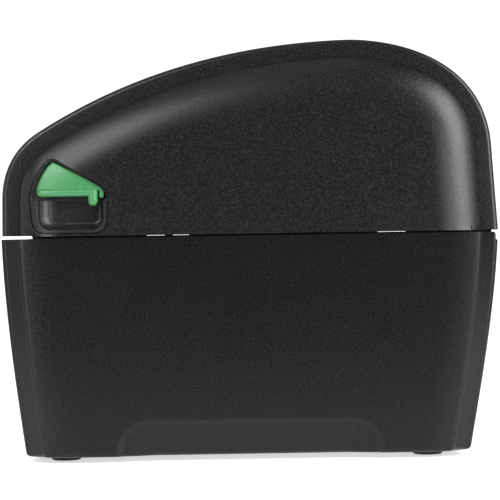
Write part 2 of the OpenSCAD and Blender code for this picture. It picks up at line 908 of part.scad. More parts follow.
// glossy insert behind the lever opening, with the hollow for a fingertip
module finger_pocket() {
    difference() {
        intersection() {
            across(slab_half - 3.2, half_width)
                offset(delta = -fit_gap)
                    lever_opening();
            layered(panel_layers(slab_half - 0.4, 0, lid_crown_radius, lid_crown_angle,
                                 panel_inset, 0.5, 8), seam_high, height + 1)
                lid_outline();
        }
        // the hollow under the lever
        hull()
            for (i = [0 : 4])
                let (angle = i * 22.5)
                    across(half_width - 7.6 * cos(angle), half_width + 1)
                        intersection() {
                            offset(delta = -2.2 - 5 * (1 - sin(angle)))
                                polygon(opening_points());
                            translate([-100, 80])
                                square([60, 27.8]);
                        }
        // the room in which the lever swings
        across(half_width - 4.4, half_width + 1)
            intersection() {
                offset(delta = -0.6)
                    polygon(opening_points());
                translate([-100, 107.8])
                    square([60, 30]);
            }
        // the notch for the lever's thumb rib
        across(half_width - 4.4, half_width + 1)
            offset(r = 2.4)
                polygon([[-66.4, 104.8], [-62, 104.8], [-62, 110], [-66.4, 110]]);
        // the hole for the lever's hub
        bar(0, 60, latch_y, latch_z, latch_shaft_diameter + 3);
    }
}

module finger_pocket_right() {
    color(glossy_black)
        finger_pocket();
}

module finger_pocket_left() {
    color(glossy_black)
        mirror([1, 0, 0])
            finger_pocket();
}

module tear_bar() {
    color(steel) {
        across(-33, 33)
            polygon([[exit_rear_y + 0.1, 93.5], [exit_rear_y + 0.9, 93.5],
                     [exit_rear_y + 0.9, 101], [exit_rear_y + 0.1, 101]]);
        for (i = [-16 : 16])
            translate([i * 2, 0, 0])
                rotate([90, 0, 0])
                    translate([0, 0, -exit_rear_y - 0.9])
                        linear_extrude(height = 0.8)
                            polygon([[-1, 93.6], [1, 93.6], [0, 92.9]]);
    }
}

// steel bracket in the lid that carries the print head and the latch shaft
module head_bracket() {
    color(steel)
        difference() {
            union() {
                both_sides()
                    across(plate_x, plate_x + plate_thickness)
                        polygon([[-86, 99], [-62, 97], [-61, 112], [-72, 128], [-86, 128]]);
                block([-plate_x, -86, 112], [plate_x, -64, 113.2]);
            }
            bar(-50, 50, head_pin_y, head_pin_z, head_pin_diameter);
            bar(-50, 50, latch_y, latch_z, latch_shaft_diameter + 2 * running_gap);
            for (x = [-spring_x, spring_x])
                translate([x, -81, 100])
                    cylinder(d = 8.4, h = 30);
        }
}

module head_pivot_pin() {
    color(steel)
        bar(-plate_x - 1.8, plate_x + 1.8, head_pin_y, head_pin_z, head_pin_diameter);
}

module head_heat_sink() {
    color([0.72, 0.73, 0.74])
        difference() {
            union() {
                block([-33, -87.5, 94], [33, -70.5, 98]);
                for (i = [-7 : 7])
                    if (abs(i) != 4)
                        block([i * 4.4 - 0.8, -87.5, 97.9], [i * 4.4 + 0.8, -70.5, 103]);
                both_sides()
                    across(30, 33)
                        polygon([[-75, 96], [-70.5, 94], [-62.5, 101], [-62.5, 106], [-68, 106], [-75, 101]]);
            }
            bar(-50, 50, head_pin_y, head_pin_z, head_pin_diameter + 2 * running_gap);
        }
}

module head_ceramic() {
    color([0.82, 0.78, 0.7]) {
        block([-32, -86, 93.1], [32, -74, 93.98]);
        intersection() {
            bar(-31, 31, platen_y, 93.2, 1.7);
            block([-31, -90, 90], [31, -70, 93.15]);
        }
    }
}

// round wire wound into a spring along Z, its ends ground flat
module coil_spring(coil_radius, wire, pitch, turns) {
    // a level cut through the wire reaches this far round the axis to either side
    reach = 180 * wire / pitch;
    step = reach > 90 ? 15 : 22.5;
    linear_extrude(height = turns * pitch, twist = -360 * turns, slices = 12 * turns, $fn = 12)
        polygon([for (t = [0 : step : 359])
            let (r = coil_radius + wire / 2 * cos(t), a = reach * sin(t))
                [r * cos(a), r * sin(a)]]);
}

// compression springs on guide pins, which press the head onto the platen
module head_springs() {
    color(steel)
        for (x = [-spring_x, spring_x])
            translate([x, -81, 0]) {
                translate([0, 0, 98.1])
                    coil_spring(2.8, 1, 2.6, 5);
                translate([0, 0, 98.02])
                    cylinder(d = 2, h = 14);
            }
}

// flat cable from the head over the roof of the bay
module head_cable() {
    color([0.85, 0.85, 0.8])
        difference() {
            intersection() {
                bar(-12, 8, roll_y, roll_z, 2 * (bay_radius + 2.9));
                block([-20, -60, 97], [20, 70, 200]);
            }
            bar(-20, 20, roll_y, roll_z, 2 * (bay_radius + 2.3));
        }
}

// places a part at the feed button, its Z axis square to the lid
module at_button() {
    translate([0, button_y, button_z])
        rotate([button_slope, 0, 0])
            children();
}

module light_ring() {
    color([0.9, 0.92, 0.9])
        at_button()
            difference() {
                union() {
                    translate([0, 0, -2.6])
                        cylinder(d = button_diameter + 4, h = 2.5);
                    translate([0, 0, -3.8])
                        cylinder(d = button_diameter + 8, h = 1.2);
                }
                translate([0, 0, -5])
                    cylinder(d = button_diameter + 0.6, h = 10);
            }
}

module feed_button() {
    color(inner_black)
        at_button() {
            translate([0, 0, -4.2])
                cylinder(d = button_diameter, h = 4);
            translate([0, 0, -6.5])
                cylinder(d = 4, h = 2.4);
        }
}

module button_board() {
    color([0.1, 0.32, 0.16])
        at_button()
            difference() {
                block([-14, -9, -10.6], [14, 9, -9]);
                for (x = [-11, 11])
                    translate([x, 0, -12])
                        cylinder(d = 2.6, h = 4);
            }
    color(rubber)
        at_button()
            block([-3, -3, -9], [3, 3, -7.9]);
}

module latch_shaft() {
    color(steel)
        bar(-slab_half - 2, slab_half + 2, latch_y, latch_z, latch_shaft_diameter);
}

module latch_hooks() {
    color(steel)
        both_sides()
            difference() {
                across(hook_x, hook_x + hook_thickness) {
                    translate([latch_y, latch_z])
                        circle(d = 10);
                    polygon([[latch_y - 3, latch_z], [latch_y + 4, latch_z], [catch_y - 3.4, 102],
                             [catch_y - 2.4, catch_z], [catch_y - 1.9, catch_z - 2.6], [catch_y - 4, catch_z - 4.4],
                             [catch_y - 7, catch_z - 2], [catch_y - 7.6, 104]]);
                }
                bar(0, 60, latch_y, latch_z, latch_shaft_diameter);
            }
}

// return spring wound round the latch shaft
module latch_spring() {
    color(steel)
        translate([27.6, latch_y, latch_z])
            rotate([0, 90, 0])
                coil_spring(3.2, 0.9, 1.6, 3);
}

// green release lever with the beads that a finger pulls
module release_lever() {
    plate_low = half_width - 4.3;
    difference() {
        union() {
            intersection() {
                across(plate_low, plate_low + lever_thickness)
                    offset(r = 1.2)
                        offset(delta = -1.2)
                            polygon(concat(
                                curve([[-80, 123.3], [-82, 122.6], [-85.4, 117.8], [-87, 112.4]], 8),
                                [[-87, 112.4], [-86.6, 109], [-84, 108.4], [-60.4, 108], [-60.2, 111.6], [-62.2, 113.2]]));
                layered(panel_layers(slab_half - 1.2, 0, lid_crown_radius, lid_crown_angle,
                                     panel_inset, 0.5, 8), seam_high, height + 1)
                    lid_outline();
            }
            translate([plate_low + lever_thickness - 0.6, 0, 0]) {
                hull()
                    for (y = [-85.2, -64.4])
                        translate([0, y, 110.6])
                            sphere(d = bead_diameter, $fn = 12);
                hull()
                    for (z = [107.2, 110.8])
                        translate([0, -64, z])
                            sphere(d = bead_diameter + 0.6, $fn = 12);
            }
            bar(slab_half - 2, plate_low + 1, latch_y, latch_z, latch_shaft_diameter + 2);
        }
        bar(0, slab_half + 2, latch_y, latch_z, latch_shaft_diameter);
    }
}

module lever_right() {
    color(green)
        release_lever();
}

module lever_left() {
    color(green)
        mirror([1, 0, 0])
            release_lever();
}

base_housing();
bottom_plate();
rubber_feet();
bottom_screws();
rear_panel();
panel_screws();
main_board();
board_parts();
usb_socket();
power_socket();
serial_socket();
switch_frame();
switch_rocker();
media_tub();
label_deck();
label_sensor();
print_frame();
frame_bushes();
catch_pins();
idler_stud();
motor_body();
motor_pinion();
idler_gear();
platen_shaft();
platen_rubber();
platen_gear();
guide_right();
guide_left();
guide_pinion();
guide_pinion_stud();
hinge_mounts();
hinge_pins();
lid_shell();
lid_liner();
lid_hinge_arms();
lid_screws();
finger_pocket_right();
finger_pocket_left();
tear_bar();
head_bracket();
head_pivot_pin();
head_heat_sink();
head_ceramic();
head_springs();
head_cable();
button_board();
light_ring();
feed_button();
latch_shaft();
latch_hooks();
latch_spring();
lever_right();
lever_left();
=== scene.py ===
"""Looks of an empty two-inch desktop label printer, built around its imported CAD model.

Lengths in this script are millimetres until a mesh is made, and metres in Blender.
"""

import math

import bmesh
import bpy
import numpy as np
from mathutils import Matrix, Vector


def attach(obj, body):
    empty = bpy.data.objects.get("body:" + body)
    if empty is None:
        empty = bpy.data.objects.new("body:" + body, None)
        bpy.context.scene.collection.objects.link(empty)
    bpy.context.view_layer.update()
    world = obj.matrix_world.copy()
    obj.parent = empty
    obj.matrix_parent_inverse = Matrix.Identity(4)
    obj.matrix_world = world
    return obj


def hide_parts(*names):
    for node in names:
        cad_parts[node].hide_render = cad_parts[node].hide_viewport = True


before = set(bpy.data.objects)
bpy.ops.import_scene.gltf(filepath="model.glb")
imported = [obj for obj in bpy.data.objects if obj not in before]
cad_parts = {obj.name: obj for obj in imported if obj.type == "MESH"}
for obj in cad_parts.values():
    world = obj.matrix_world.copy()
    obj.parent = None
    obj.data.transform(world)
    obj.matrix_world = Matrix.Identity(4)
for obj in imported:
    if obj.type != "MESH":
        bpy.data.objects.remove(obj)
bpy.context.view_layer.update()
scene = bpy.context.scene
MM = 0.001

# Sizes of the housing; only the crowns of the side panels are flatter than in the CAD source

FRONT = -102.3
REAR = 102.3
HEIGHT = 172.0
SEAM_LOW = 92.0
SEAM_HIGH = 92.8
SEAM_Z = 92.4
FOOT_HEIGHT = 2.3
WALL = 2.4
HALF_WIDTH = 54.0
SLAB_HALF = 46.86
EDGE_RADIUS = 2.0
PANEL_INSET = 7.4
LID_CROWN_RADIUS = 31.5
BASE_CROWN_RADIUS = 90.0
BASE_PANEL_TOP = 53.8
BASE_CAVITY_LOW = 24.0
EXIT_REAR_Y = FRONT + 12.8
EXIT_LOW = 91.83
EXIT_HIGH = 93.19
BUTTON_PLACE = (0.0, -72.0, 143.4)
BUTTON_SLOPE = 27.7
BUTTON_HOLE_RADIUS = 9.2

# A distance from the middle plane beyond both sides

OUTSIDE = 60.0

# Gaps of the inner lips, through which the light behind the printer is seen in the seam

RIGHT_LIP_GAPS = ((-42.3, -34.9), (-31.6, -24.7), (52.2, 63.7))
LEFT_LIP_GAPS = ((-48, -27), (57, 72))

# Curves


def cubic(points, count):
    """Points along a cubic curve, its last point left out."""
    t = np.linspace(0, 1, count, endpoint=False)[:, None]
    a, b, c, d = [np.array(point, float) for point in points]
    return a * (1 - t) ** 3 + 3 * b * (1 - t) ** 2 * t + 3 * c * (1 - t) * t**2 + d * t**3


def lengths_along(line):
    """Distance of each point of a line from its start, measured along it."""
    steps = np.linalg.norm(np.diff(line, axis=0), axis=1)
    return np.concatenate([[0], np.cumsum(steps)])


def along(line, distances):
    """Points of a line at the given distances from its start."""
    measured = lengths_along(line)
    return np.column_stack([np.interp(distances, measured, line[:, k]) for k in range(line.shape[1])])


def evenly(line, count, closed=False):
    """The line drawn again with evenly spaced points."""
    if closed:
        line = np.vstack([line, line[:1]])
    total = lengths_along(line)[-1]
    return along(line, np.linspace(0, total, count, endpoint=not closed))


def smoothstep(value):
    """Eases from 0 to 1."""
    value = np.clip(value, 0, 1)
    return value * value * (3 - 2 * value)


NOSE = [[FRONT + 0.6, SEAM_HIGH + 15.2], [FRONT + 0.7, SEAM_HIGH + 27.3],
        [FRONT + 5.9, HEIGHT - 41.9], [FRONT + 17, HEIGHT - 35.5]]
TOP = [NOSE[3], [-44.7, HEIGHT - 10.4], [-0.8, HEIGHT - 0.8], [41.4, HEIGHT]]
BACK = [TOP[3], [57.4, HEIGHT], [REAR - 6.1, HEIGHT - 5.9], [REAR - 2.4, HEIGHT - 42.6]]
BASE_FRONT = [[FRONT, SEAM_Z], [FRONT + 0.9, 62], [FRONT + 5.1, 30], [FRONT + 9.3, FOOT_HEIGHT - 2]]
BASE_REAR = [[REAR, SEAM_Z], [REAR - 1.4, 62], [REAR - 7.7, 30], [REAR - 13.1, FOOT_HEIGHT - 2]]


def lid_line():
    """Side view of the lid from below the seam at the front over the top to below the seam at the rear."""
    line = np.vstack([[[FRONT, SEAM_Z - 40]], cubic(NOSE, 60), cubic(TOP, 60), cubic(BACK, 60), [BACK[3]],
                      [[REAR, SEAM_HIGH], [REAR, SEAM_Z - 40]]])
    return evenly(line, 900)


def inward_normals(line):
    """Unit normals of a line that runs clockwise round the space inside it."""
    slopes = np.gradient(line, axis=0)
    for _ in range(3):
        slopes[1:-1] = (slopes[:-2] + slopes[1:-1] + slopes[2:]) / 3
    slopes /= np.linalg.norm(slopes, axis=1)[:, None]
    return np.column_stack([slopes[:, 1], -slopes[:, 0]])


LID_LINE = lid_line()
LID_NORMALS = inward_normals(LID_LINE)


def bead_and_crown(foot, crown_low, top, radius, bead, steps):
    """Section of a side panel from its flat top down to its foot: distances from the middle and insets.

    The panel's crown ends in a bead that turns down to the foot, which stands on the band.
    """
    steep = math.radians(86)
    slope = math.acos((radius + crown_low - bead * math.cos(steep) - top) / (radius - bead))
    start = foot + bead * (math.sin(steep) - math.sin(slope))
    points = [(top - radius * (1 - math.cos(angle)), start + radius * (math.sin(slope) - math.sin(angle)))
              for angle in np.linspace(0, slope, steps + 1)[:-1]]
    points += [(crown_low + bead * (math.cos(angle) - math.cos(steep)),
                foot + bead * (math.sin(steep) - math.sin(angle)))
               for angle in np.linspace(slope, steep, 5)]
    return points


def edge_and_band():
    """Section from the band round the edge to the flat middle of the slab."""
    points = [(SLAB_HALF - EDGE_RADIUS * (1 - math.sin(angle)), EDGE_RADIUS * (1 - math.cos(angle)))
              for angle in np.linspace(math.pi / 2, 0, 7)]
    return points + [(30.0, 0.0), (15.0, 0.0)]


LID_PANEL = bead_and_crown(PANEL_INSET, SLAB_HALF, HALF_WIDTH, LID_CROWN_RADIUS, 1.2, 14)
BASE_STEP_TOP = 51.4
BASE_PANEL = bead_and_crown(PANEL_INSET, BASE_STEP_TOP, BASE_PANEL_TOP, BASE_CROWN_RADIUS, 1.5, 10)


# Meshes


def mesh_piece(name, vertices, faces, material=None, sharp=30):
    """Object from points in millimetres, shaded smooth with sharp edges where faces meet at an angle."""
    mesh = bpy.data.meshes.new(name)
    places = (np.asarray(vertices, float) * MM).tolist()
    mesh.from_pydata(places, [], [list(map(int, face)) for face in faces])
    mesh.validate()
    piece = bpy.data.objects.new(name, mesh)
    scene.collection.objects.link(piece)
    shade(piece, sharp)
    if material:
        mesh.materials.append(material)
    return piece


def shade(piece, sharp=30):
    """Smooth shading with sharp edges above an angle in degrees."""
    piece.data.polygons.foreach_set("use_smooth", [True] * len(piece.data.polygons))
    piece.data.set_sharp_from_angle(angle=math.radians(sharp))


def recalculate(piece):
    """Merges doubled points and turns all faces outwards."""
    work = bmesh.new()
    work.from_mesh(piece.data)
    bmesh.ops.remove_doubles(work, verts=work.verts, dist=0.002 * MM)
    bmesh.ops.recalc_face_normals(work, faces=work.faces)
    work.to_mesh(piece.data)
    work.free()


def grid_faces(rows, columns, closed_rows=False, closed_columns=False):
    """Quads between the points of a grid that are numbered row by row."""
    last_row = rows if closed_rows else rows - 1
    last_column = columns if closed_columns else columns - 1
    faces = []
    for i in range(last_row):
        for j in range(last_column):
            a = i * columns + j
            b = i * columns + (j + 1) % columns
            c = (i + 1) % rows * columns + (j + 1) % columns
            d = (i + 1) % rows * columns + j
            faces.append([a, b, c, d])
    return faces


def drum_faces(count):
    """Faces of a closed solid between two loops with equally many points."""
    faces = [list(range(count))[::-1], list(range(count, 2 * count))]
    return faces + [[k, (k + 1) % count, count + (k + 1) % count, count + k] for k in range(count)]


def prism(outline, low, high):
    """Closed solid from a drawing in the side view between two distances from the middle plane."""
    vertices = [[x, y, z] for x in (low, high) for y, z in outline]
    return vertices, drum_faces(len(outline))


def box_mesh(low, high):
    """Closed box between two corners."""
    (x0, y0, z0), (x1, y1, z1) = low, high
    return prism([[y0, z0], [y1, z0], [y1, z1], [y0, z1]], x0, x1)


def cylinder_mesh(radius, low, high, place, lean, count=96):
    """Closed cylinder along Z, leaned about X and then put in its place."""
    turn = Matrix.Rotation(math.radians(lean), 3, "X")
    vertices = []
    for z in (low, high):
        for k in range(count):
            angle = 2 * math.pi * k / count
            upright = Vector((radius * math.cos(angle), radius * math.sin(angle), z))
            vertices.append(turn @ upright + Vector(place))
    return vertices, drum_faces(count)


def finish_modifiers(piece):
    """Turns the piece with its modifiers into a plain mesh."""
    evaluated = piece.evaluated_get(bpy.context.evaluated_depsgraph_get())
    mesh = bpy.data.meshes.new_from_object(evaluated)
    piece.modifiers.clear()
    old = piece.data
    piece.data = mesh
    mesh.name = piece.name
    bpy.data.meshes.remove(old)


def cut(piece, solids):
    """Cuts closed solids, each given by points and faces, out of a piece."""
    for vertices, faces in solids:
        cutter = mesh_piece("cutter", vertices, faces)
        recalculate(cutter)
        modifier = piece.modifiers.new("cut", "BOOLEAN")
        modifier.operation = "DIFFERENCE"
        modifier.solver = "EXACT"
        modifier.object = cutter
        finish_modifiers(piece)
        bpy.data.objects.remove(cutter)


def join(parts):
    """Points and faces of several meshes together."""
    vertices, faces = [], []
    for part_vertices, part_faces in parts:
        start = len(vertices)
        vertices += [list(v) for v in part_vertices]
        faces += [[start + k for k in face] for face in part_faces]
    return vertices, faces


# Lid


def lid_row(distance, inset, columns):
    """One line over the lid at a distance from the middle plane and an inset from its outline."""
    moved = LID_LINE + LID_NORMALS * inset
    above = np.nonzero(moved[:, 1] >= SEAM_HIGH)[0]
    first, last = above[0], above[-1]

    def crossing(a, b):
        share = (SEAM_HIGH - moved[a, 1]) / (moved[b, 1] - moved[a, 1])
        return a + share * (b - a)

    places = np.linspace(crossing(first - 1, first), crossing(last, last + 1), columns)
    numbers = np.arange(len(moved))
    y = np.interp(places, numbers, moved[:, 0])
    z = np.interp(places, numbers, moved[:, 1])
    z[0] = z[-1] = SEAM_HIGH
    return np.column_stack([np.full(columns, distance), y, z])


def lid_surface(inset, columns, fill_rows):
    """Points and faces of the lid's outer surface, or of the surface inside the wall."""
    half = LID_PANEL + edge_and_band()
    half = [(x - inset, e + inset) for x, e in half]
    section = half + [(0.0, inset)] + [(-x, e) for x, e in half[::-1]]
    rows = [lid_row(x, e, columns) for x, e in section]
    vertices = np.vstack(rows).tolist()
    faces = grid_faces(len(rows), columns)
    for row, outward in ((0, 1), (len(rows) - 1, -1)):
        arch = rows[row]
        start = len(vertices)
        base = np.linspace(arch[0], arch[-1], columns)
        index = [[row * columns + k for k in range(columns)]]
        for step in range(1, fill_rows + 1):
            share = step / fill_rows
            line = []
            for k in range(columns):
                if k in (0, columns - 1):
                    line.append(row * columns + k)
                else:
                    line.append(start)
                    start += 1
                    vertices.append((arch[k] * (1 - share) + base[k] * share).tolist())
            index.append(line)
        for above, below in zip(index[:-1], index[1:]):
            for k in range(columns - 1):
                face = [above[k], above[k + 1], below[k + 1], below[k]]
                face = [p for n, p in enumerate(face) if p not in face[:n]]
                faces.append(face if outward < 0 else face[::-1])
    return vertices, faces


def closed_shell(outer, inner, faces):
    """Shell between two surfaces with the same faces, closed along their rims."""
    count = len(outer)
    shell = [list(face) for face in faces] + [[count + k for k in face[::-1]] for face in faces]
    edges = {}
    for face in faces:
        for a, b in zip(face, face[1:] + face[:1]):
            edges[a, b] = edges.get((a, b), 0) + 1
    for a, b in edges:
        if (b, a) not in edges:
            shell.append([b, a, count + a, count + b])
    return outer + inner, shell


def opening_line():
    """Outline of the opening for the release lever and its finger pocket, in the side view."""
    line = np.vstack([
        cubic([[-80.2, 125.2], [-83.6, 124.4], [-88.8, 118], [-90.2, 108.5]], 24),
        [[-90.2, 108.5], [-89.4, 98.6]],
        cubic([[-89.3, 98.2], [-88.6, 95.2], [-86.6, 93.9], [-84, 93.8]], 12),
        [[-63, 93.8]],
        cubic([[-62.9, 93.8], [-60.2, 93.9], [-58.2, 95.6], [-58, 98.6]], 12),
        [[-57.6, 107.6], [-57.9, 111.6]]])
    return round_corners(line, 1.4)


def round_corners(line, radius):
    """Closed outline with its sharp corners cut by small arcs."""
    points = evenly(line, 600, closed=True)
    spacing = lengths_along(points)[-1] / 600
    reach = max(1, int(radius / spacing))
    smooth = points.copy()
    for _ in range(3):
        padded = np.vstack([smooth[-reach:], smooth, smooth[:reach]])
        sums = np.cumsum(np.vstack([[[0, 0]], padded]), axis=0)
        smooth = (sums[2 * reach + 1:] - sums[:-2 * reach - 1]) / (2 * reach + 1)
    corner = np.linalg.norm(smooth - points, axis=1)
    share = smoothstep((corner - 0.05) / 0.25)[:, None]
    return evenly(points * (1 - share) + smooth * share, 200, closed=True)


def exit_slot():
    """Space of the label slot, across the whole width."""
    outline = [[FRONT - 5, EXIT_LOW], [EXIT_REAR_Y - 0.3, EXIT_LOW],
               [EXIT_REAR_Y + 0.3, EXIT_HIGH], [FRONT - 5, EXIT_HIGH]]
    return prism(outline, -OUTSIDE, OUTSIDE)


OPENING = opening_line()


def make_lid(material):
    """Lid shell with its slot, its two lever openings and the hole for the feed button."""
    columns, fill_rows = 180, 26
    outer, faces = lid_surface(0, columns, fill_rows)
    inner, _ = lid_surface(WALL, columns, fill_rows)
    vertices, faces = closed_shell(outer, inner, faces)
    lid = mesh_piece("lid_cover", vertices, faces, material)
    recalculate(lid)
    opening = OPENING.tolist()
    opening_floor = SLAB_HALF - 6
    cut(lid, [exit_slot(), prism(opening, opening_floor, OUTSIDE), prism(opening, -OUTSIDE, -opening_floor),
              cylinder_mesh(BUTTON_HOLE_RADIUS, -8, 4, BUTTON_PLACE, BUTTON_SLOPE)])
    shade(lid)
    return lid


# Base


def base_ends(z):
    """Front and rear of the base at a height, and how much its slopes stretch an inset there."""
    values = []
    for points in (BASE_FRONT, BASE_REAR):
        line = cubic(points, 200)[::-1]
        y = np.interp(z, line[:, 1], line[:, 0])
        slope = (np.interp(z + 0.5, line[:, 1], line[:, 0]) - np.interp(z - 0.5, line[:, 1], line[:, 0]))
        values += [y, math.hypot(1, slope)]
    return values


def grip_depth(y, z):
    """Depth of the finger recess in a side panel: a soft step at its outline, then a growing slope.

    The outline is a rectangle with rounded corners that runs on below the printer.
    """
    middle_y, top, half_length, half_height, radius = -1.1, 17.1, 54.7, 40.0, 13.5
    step_depth, step_width = 1.35, 2.5
    across_y = abs(y - middle_y) - (half_length - radius)
    across_z = abs(z - (top - half_height)) - (half_height - radius)
    outside = math.hypot(max(across_y, 0), max(across_z, 0)) + min(max(across_y, across_z), 0) - radius
    inside = max(-outside, 0)
    return step_depth * float(smoothstep(inside / step_width)) + 0.1 * inside + 0.008 * inside**2


def base_ring(z, inset, inner=False):
    """Points round the base at a height, moved inwards by an inset."""
    front, front_stretch, rear, rear_stretch = base_ends(z)
    half = edge_and_band()[::-1] + BASE_PANEL[::-1]
    low_inside = inner and z < BASE_CAVITY_LOW
    side = []
    for x, e in half:
        if low_inside:
            x = min(x, SLAB_HALF)
        side.append((x - inset, front + (e + inset) * front_stretch))
    middle_front = side[-1]
    rear_side = []
    for x, e in half[::-1]:
        if low_inside:
            x = min(x, SLAB_HALF)
        rear_side.append((x - inset, rear - (e + inset) * rear_stretch))
    middle_rear = rear_side[0]
    columns_on_flat = 224
    for share in np.linspace(0, 1, columns_on_flat)[1:-1]:
        y = middle_front[1] * (1 - share) + middle_rear[1] * share
        x = middle_front[0]
        if not inner:
            x -= grip_depth(y, z)
        side.append((x, y))
    side += rear_side
    ring = [(0.0, front + inset * front_stretch)] + side + [(0.0, rear - inset * rear_stretch)]
    ring += [(-x, y) for x, y in side[::-1]]
    return [[x, y, z] for x, y in ring]


def make_base(material):
    """Base housing: outer wall, rounded lower edge, rim round the bottom plate and inner wall."""
    bottom_radius = 1.8
    heights = [SEAM_LOW, 84, 76, 68, 60, 52, 44, 36, 30, 26, 23, 20, 18.5]
    heights += list(np.arange(17.6, FOOT_HEIGHT + bottom_radius + 0.3, -0.5))
    rows = [base_ring(z, 0) for z in heights]
    for angle in np.linspace(0, math.pi / 2, 7):
        inset = bottom_radius * (1 - math.cos(angle))
        z = FOOT_HEIGHT + bottom_radius * (1 - math.sin(angle))
        rows.append(base_ring(z, inset))
    under = np.array(rows[-1])
    opening = under.copy()
    opening[:, 0] = np.clip(opening[:, 0], -42, 42)
    opening[:, 1] = np.clip(opening[:, 1], -85.5, 80)
    for share in (0.5, 1):
        rows.append((under * (1 - share) + opening * share).tolist())
    raised = opening.copy()
    raised[:, 2] = FOOT_HEIGHT + WALL
    rows.append(raised.tolist())
    rows.append(base_ring(FOOT_HEIGHT + WALL, WALL, inner=True))
    ledge = 0.01
    for z in (10, 16, BASE_CAVITY_LOW - ledge, BASE_CAVITY_LOW + ledge, 30, 40, 50, 60, 70, 80, SEAM_LOW):
        rows.append(base_ring(z, WALL, inner=True))
    columns = len(rows[0])
    vertices = [point for row in rows for point in row]
    faces = grid_faces(len(rows), columns, closed_rows=True, closed_columns=True)
    base = mesh_piece("base_cover", vertices, faces, material)
    recalculate(base)
    hinge_notch = [[REAR - 1.9, SEAM_LOW], [REAR - 1.2, SEAM_LOW - 0.7], [REAR - 1.2, 89.2], [REAR + 1, 87],
                   [REAR + 5, 87], [REAR + 5, SEAM_Z + 4], [REAR - 1.9, SEAM_Z + 4]]
    right_hinge = box_mesh((19.5, 94, 85), (40.5, 110, 97))
    left_hinge = box_mesh((-40.5, 94, 85), (-19.5, 110, 97))
    sockets = box_mesh((-42, 80, 9), (42, 110, 35))
    cut(base, [exit_slot(), prism(hinge_notch, -OUTSIDE, OUTSIDE), right_hinge, left_hinge, sockets])
    shade(base)
    return base


def lip_mesh(side, gaps):
    """Inner lip of the base that bridges the seam, with the gaps that let light through.

    A foot joins it to the side wall, and a post closes the seam behind it.
    """
    top, low_top, gap_floor = SEAM_HIGH + 1.6, SEAM_HIGH + 0.9, SEAM_LOW + 0.6
    front, full_height_front, rear = -89, -55, 91
    foot_low, foot_high = SEAM_LOW - 9, SEAM_LOW - 6
    outline = [[front, SEAM_LOW - 8], [front, low_top]]
    outline += [[full_height_front, low_top], [full_height_front, top]]
    for low, high in gaps:
        outline += [[low, top], [low, gap_floor], [high, gap_floor], [high, top]]
    outline += [[rear, top], [rear, SEAM_LOW - 8]]

    def on_side(low, high):
        return sorted((low * side, high * side))

    def block(start, end, low, high, inner, outer):
        return prism([[start, low], [end, low], [end, high], [start, high]], *on_side(inner, outer))

    inner, outer = SLAB_HALF + 1.9, SLAB_HALF + 3.3
    lip = prism(outline, *on_side(inner, outer))
    foot = block(front, rear, foot_low, foot_high, inner, SLAB_HALF + 4.4)
    post = block(91.4, 99.6, foot_low, low_top, 41.2, SLAB_HALF - 2.3)
    return join([lip, foot, post])


# Lever and finger pocket


def crown_height(y, z):
    """Distance of the lid's side surface from the middle plane at places in the side view."""
    places = np.column_stack([np.ravel(y), np.ravel(z)])
    insets = np.concatenate([np.linalg.norm(part[:, None] - LID_LINE[None], axis=2).min(axis=1)
                             for part in np.array_split(places, len(places) // 4000 + 1)])
    x, e = np.array(LID_PANEL).T
    return np.interp(insets, e[::-1], x[::-1])


def inner_offset(outline, distance):
    """Closed outline moved inwards; negative distances move it outwards."""
    outline = np.asarray(outline, float)
    slopes = np.roll(outline, -1, axis=0) - np.roll(outline, 1, axis=0)
    slopes /= np.linalg.norm(slopes, axis=1)[:, None]
    area = np.sum(outline[:, 0] * np.roll(outline[:, 1], -1) - np.roll(outline[:, 0], -1) * outline[:, 1])
    side = 1 if area > 0 else -1
    return outline + side * distance * np.column_stack([-slopes[:, 1], slopes[:, 0]])


def clip_above(outline, z):
    """The part of a closed outline above a height."""
    kept = []
    for a, b in zip(outline, np.roll(outline, -1, axis=0)):
        if a[1] >= z:
            kept.append(a)
        if (a[1] - z) * (b[1] - z) < 0:
            kept.append(a + (b - a) * (z - a[1]) / (b[1] - a[1]))
    return np.array(kept)


def stack(loops):
    """Closed solid from loops of equally many points, with flat ends."""
    count = len(loops[0])
    vertices = [list(point) for loop in loops for point in loop]
    faces = grid_faces(len(loops), count, closed_columns=True)
    last = (len(loops) - 1) * count
    faces.append(list(range(count))[::-1])
    faces.append(list(range(last, last + count)))
    return vertices, faces


def capsule(start, end, radius, count=32):
    """Closed round bar with ball ends between two points."""
    start, end = np.array(start, float), np.array(end, float)
    axis = (end - start) / np.linalg.norm(end - start)
    side = np.cross(axis, [1, 0, 0] if abs(axis[0]) < 0.9 else [0, 1, 0])
    side /= np.linalg.norm(side)
    other = np.cross(axis, side)
    loops = []
    for angle in np.linspace(-math.pi / 2 + 0.02, math.pi / 2 - 0.02, 18):
        centre = (start if angle < 0 else end) + axis * radius * math.sin(angle)
        turns = np.linspace(0, 2 * math.pi, count, endpoint=False)
        loops.append(centre + radius * math.cos(angle) * (np.outer(np.cos(turns), side)
                                                         + np.outer(np.sin(turns), other)))
    return stack(loops)


def rounded_rectangle(y_low, y_high, z_low, z_high, radii, steps=10):
    """Closed outline of a rectangle.

    Its radii are those of the lower front, lower rear, upper rear and upper front corners.
    """
    corners = [(y_low, z_low, 1, 1, 180), (y_high, z_low, -1, 1, 270), (y_high, z_high, -1, -1, 0),
               (y_low, z_high, 1, -1, 90)]
    outline = []
    for (y, z, across, up, turn), radius in zip(corners, radii):
        for step in range(steps + 1):
            angle = math.radians(turn + 90 * step / steps)
            outline.append([y + across * radius + radius * math.cos(angle),
                            z + up * radius + radius * math.sin(angle)])
    return outline


def at_distance(x, outline):
    """Loop of points at one distance from the middle plane."""
    return [[x, y, z] for y, z in outline]


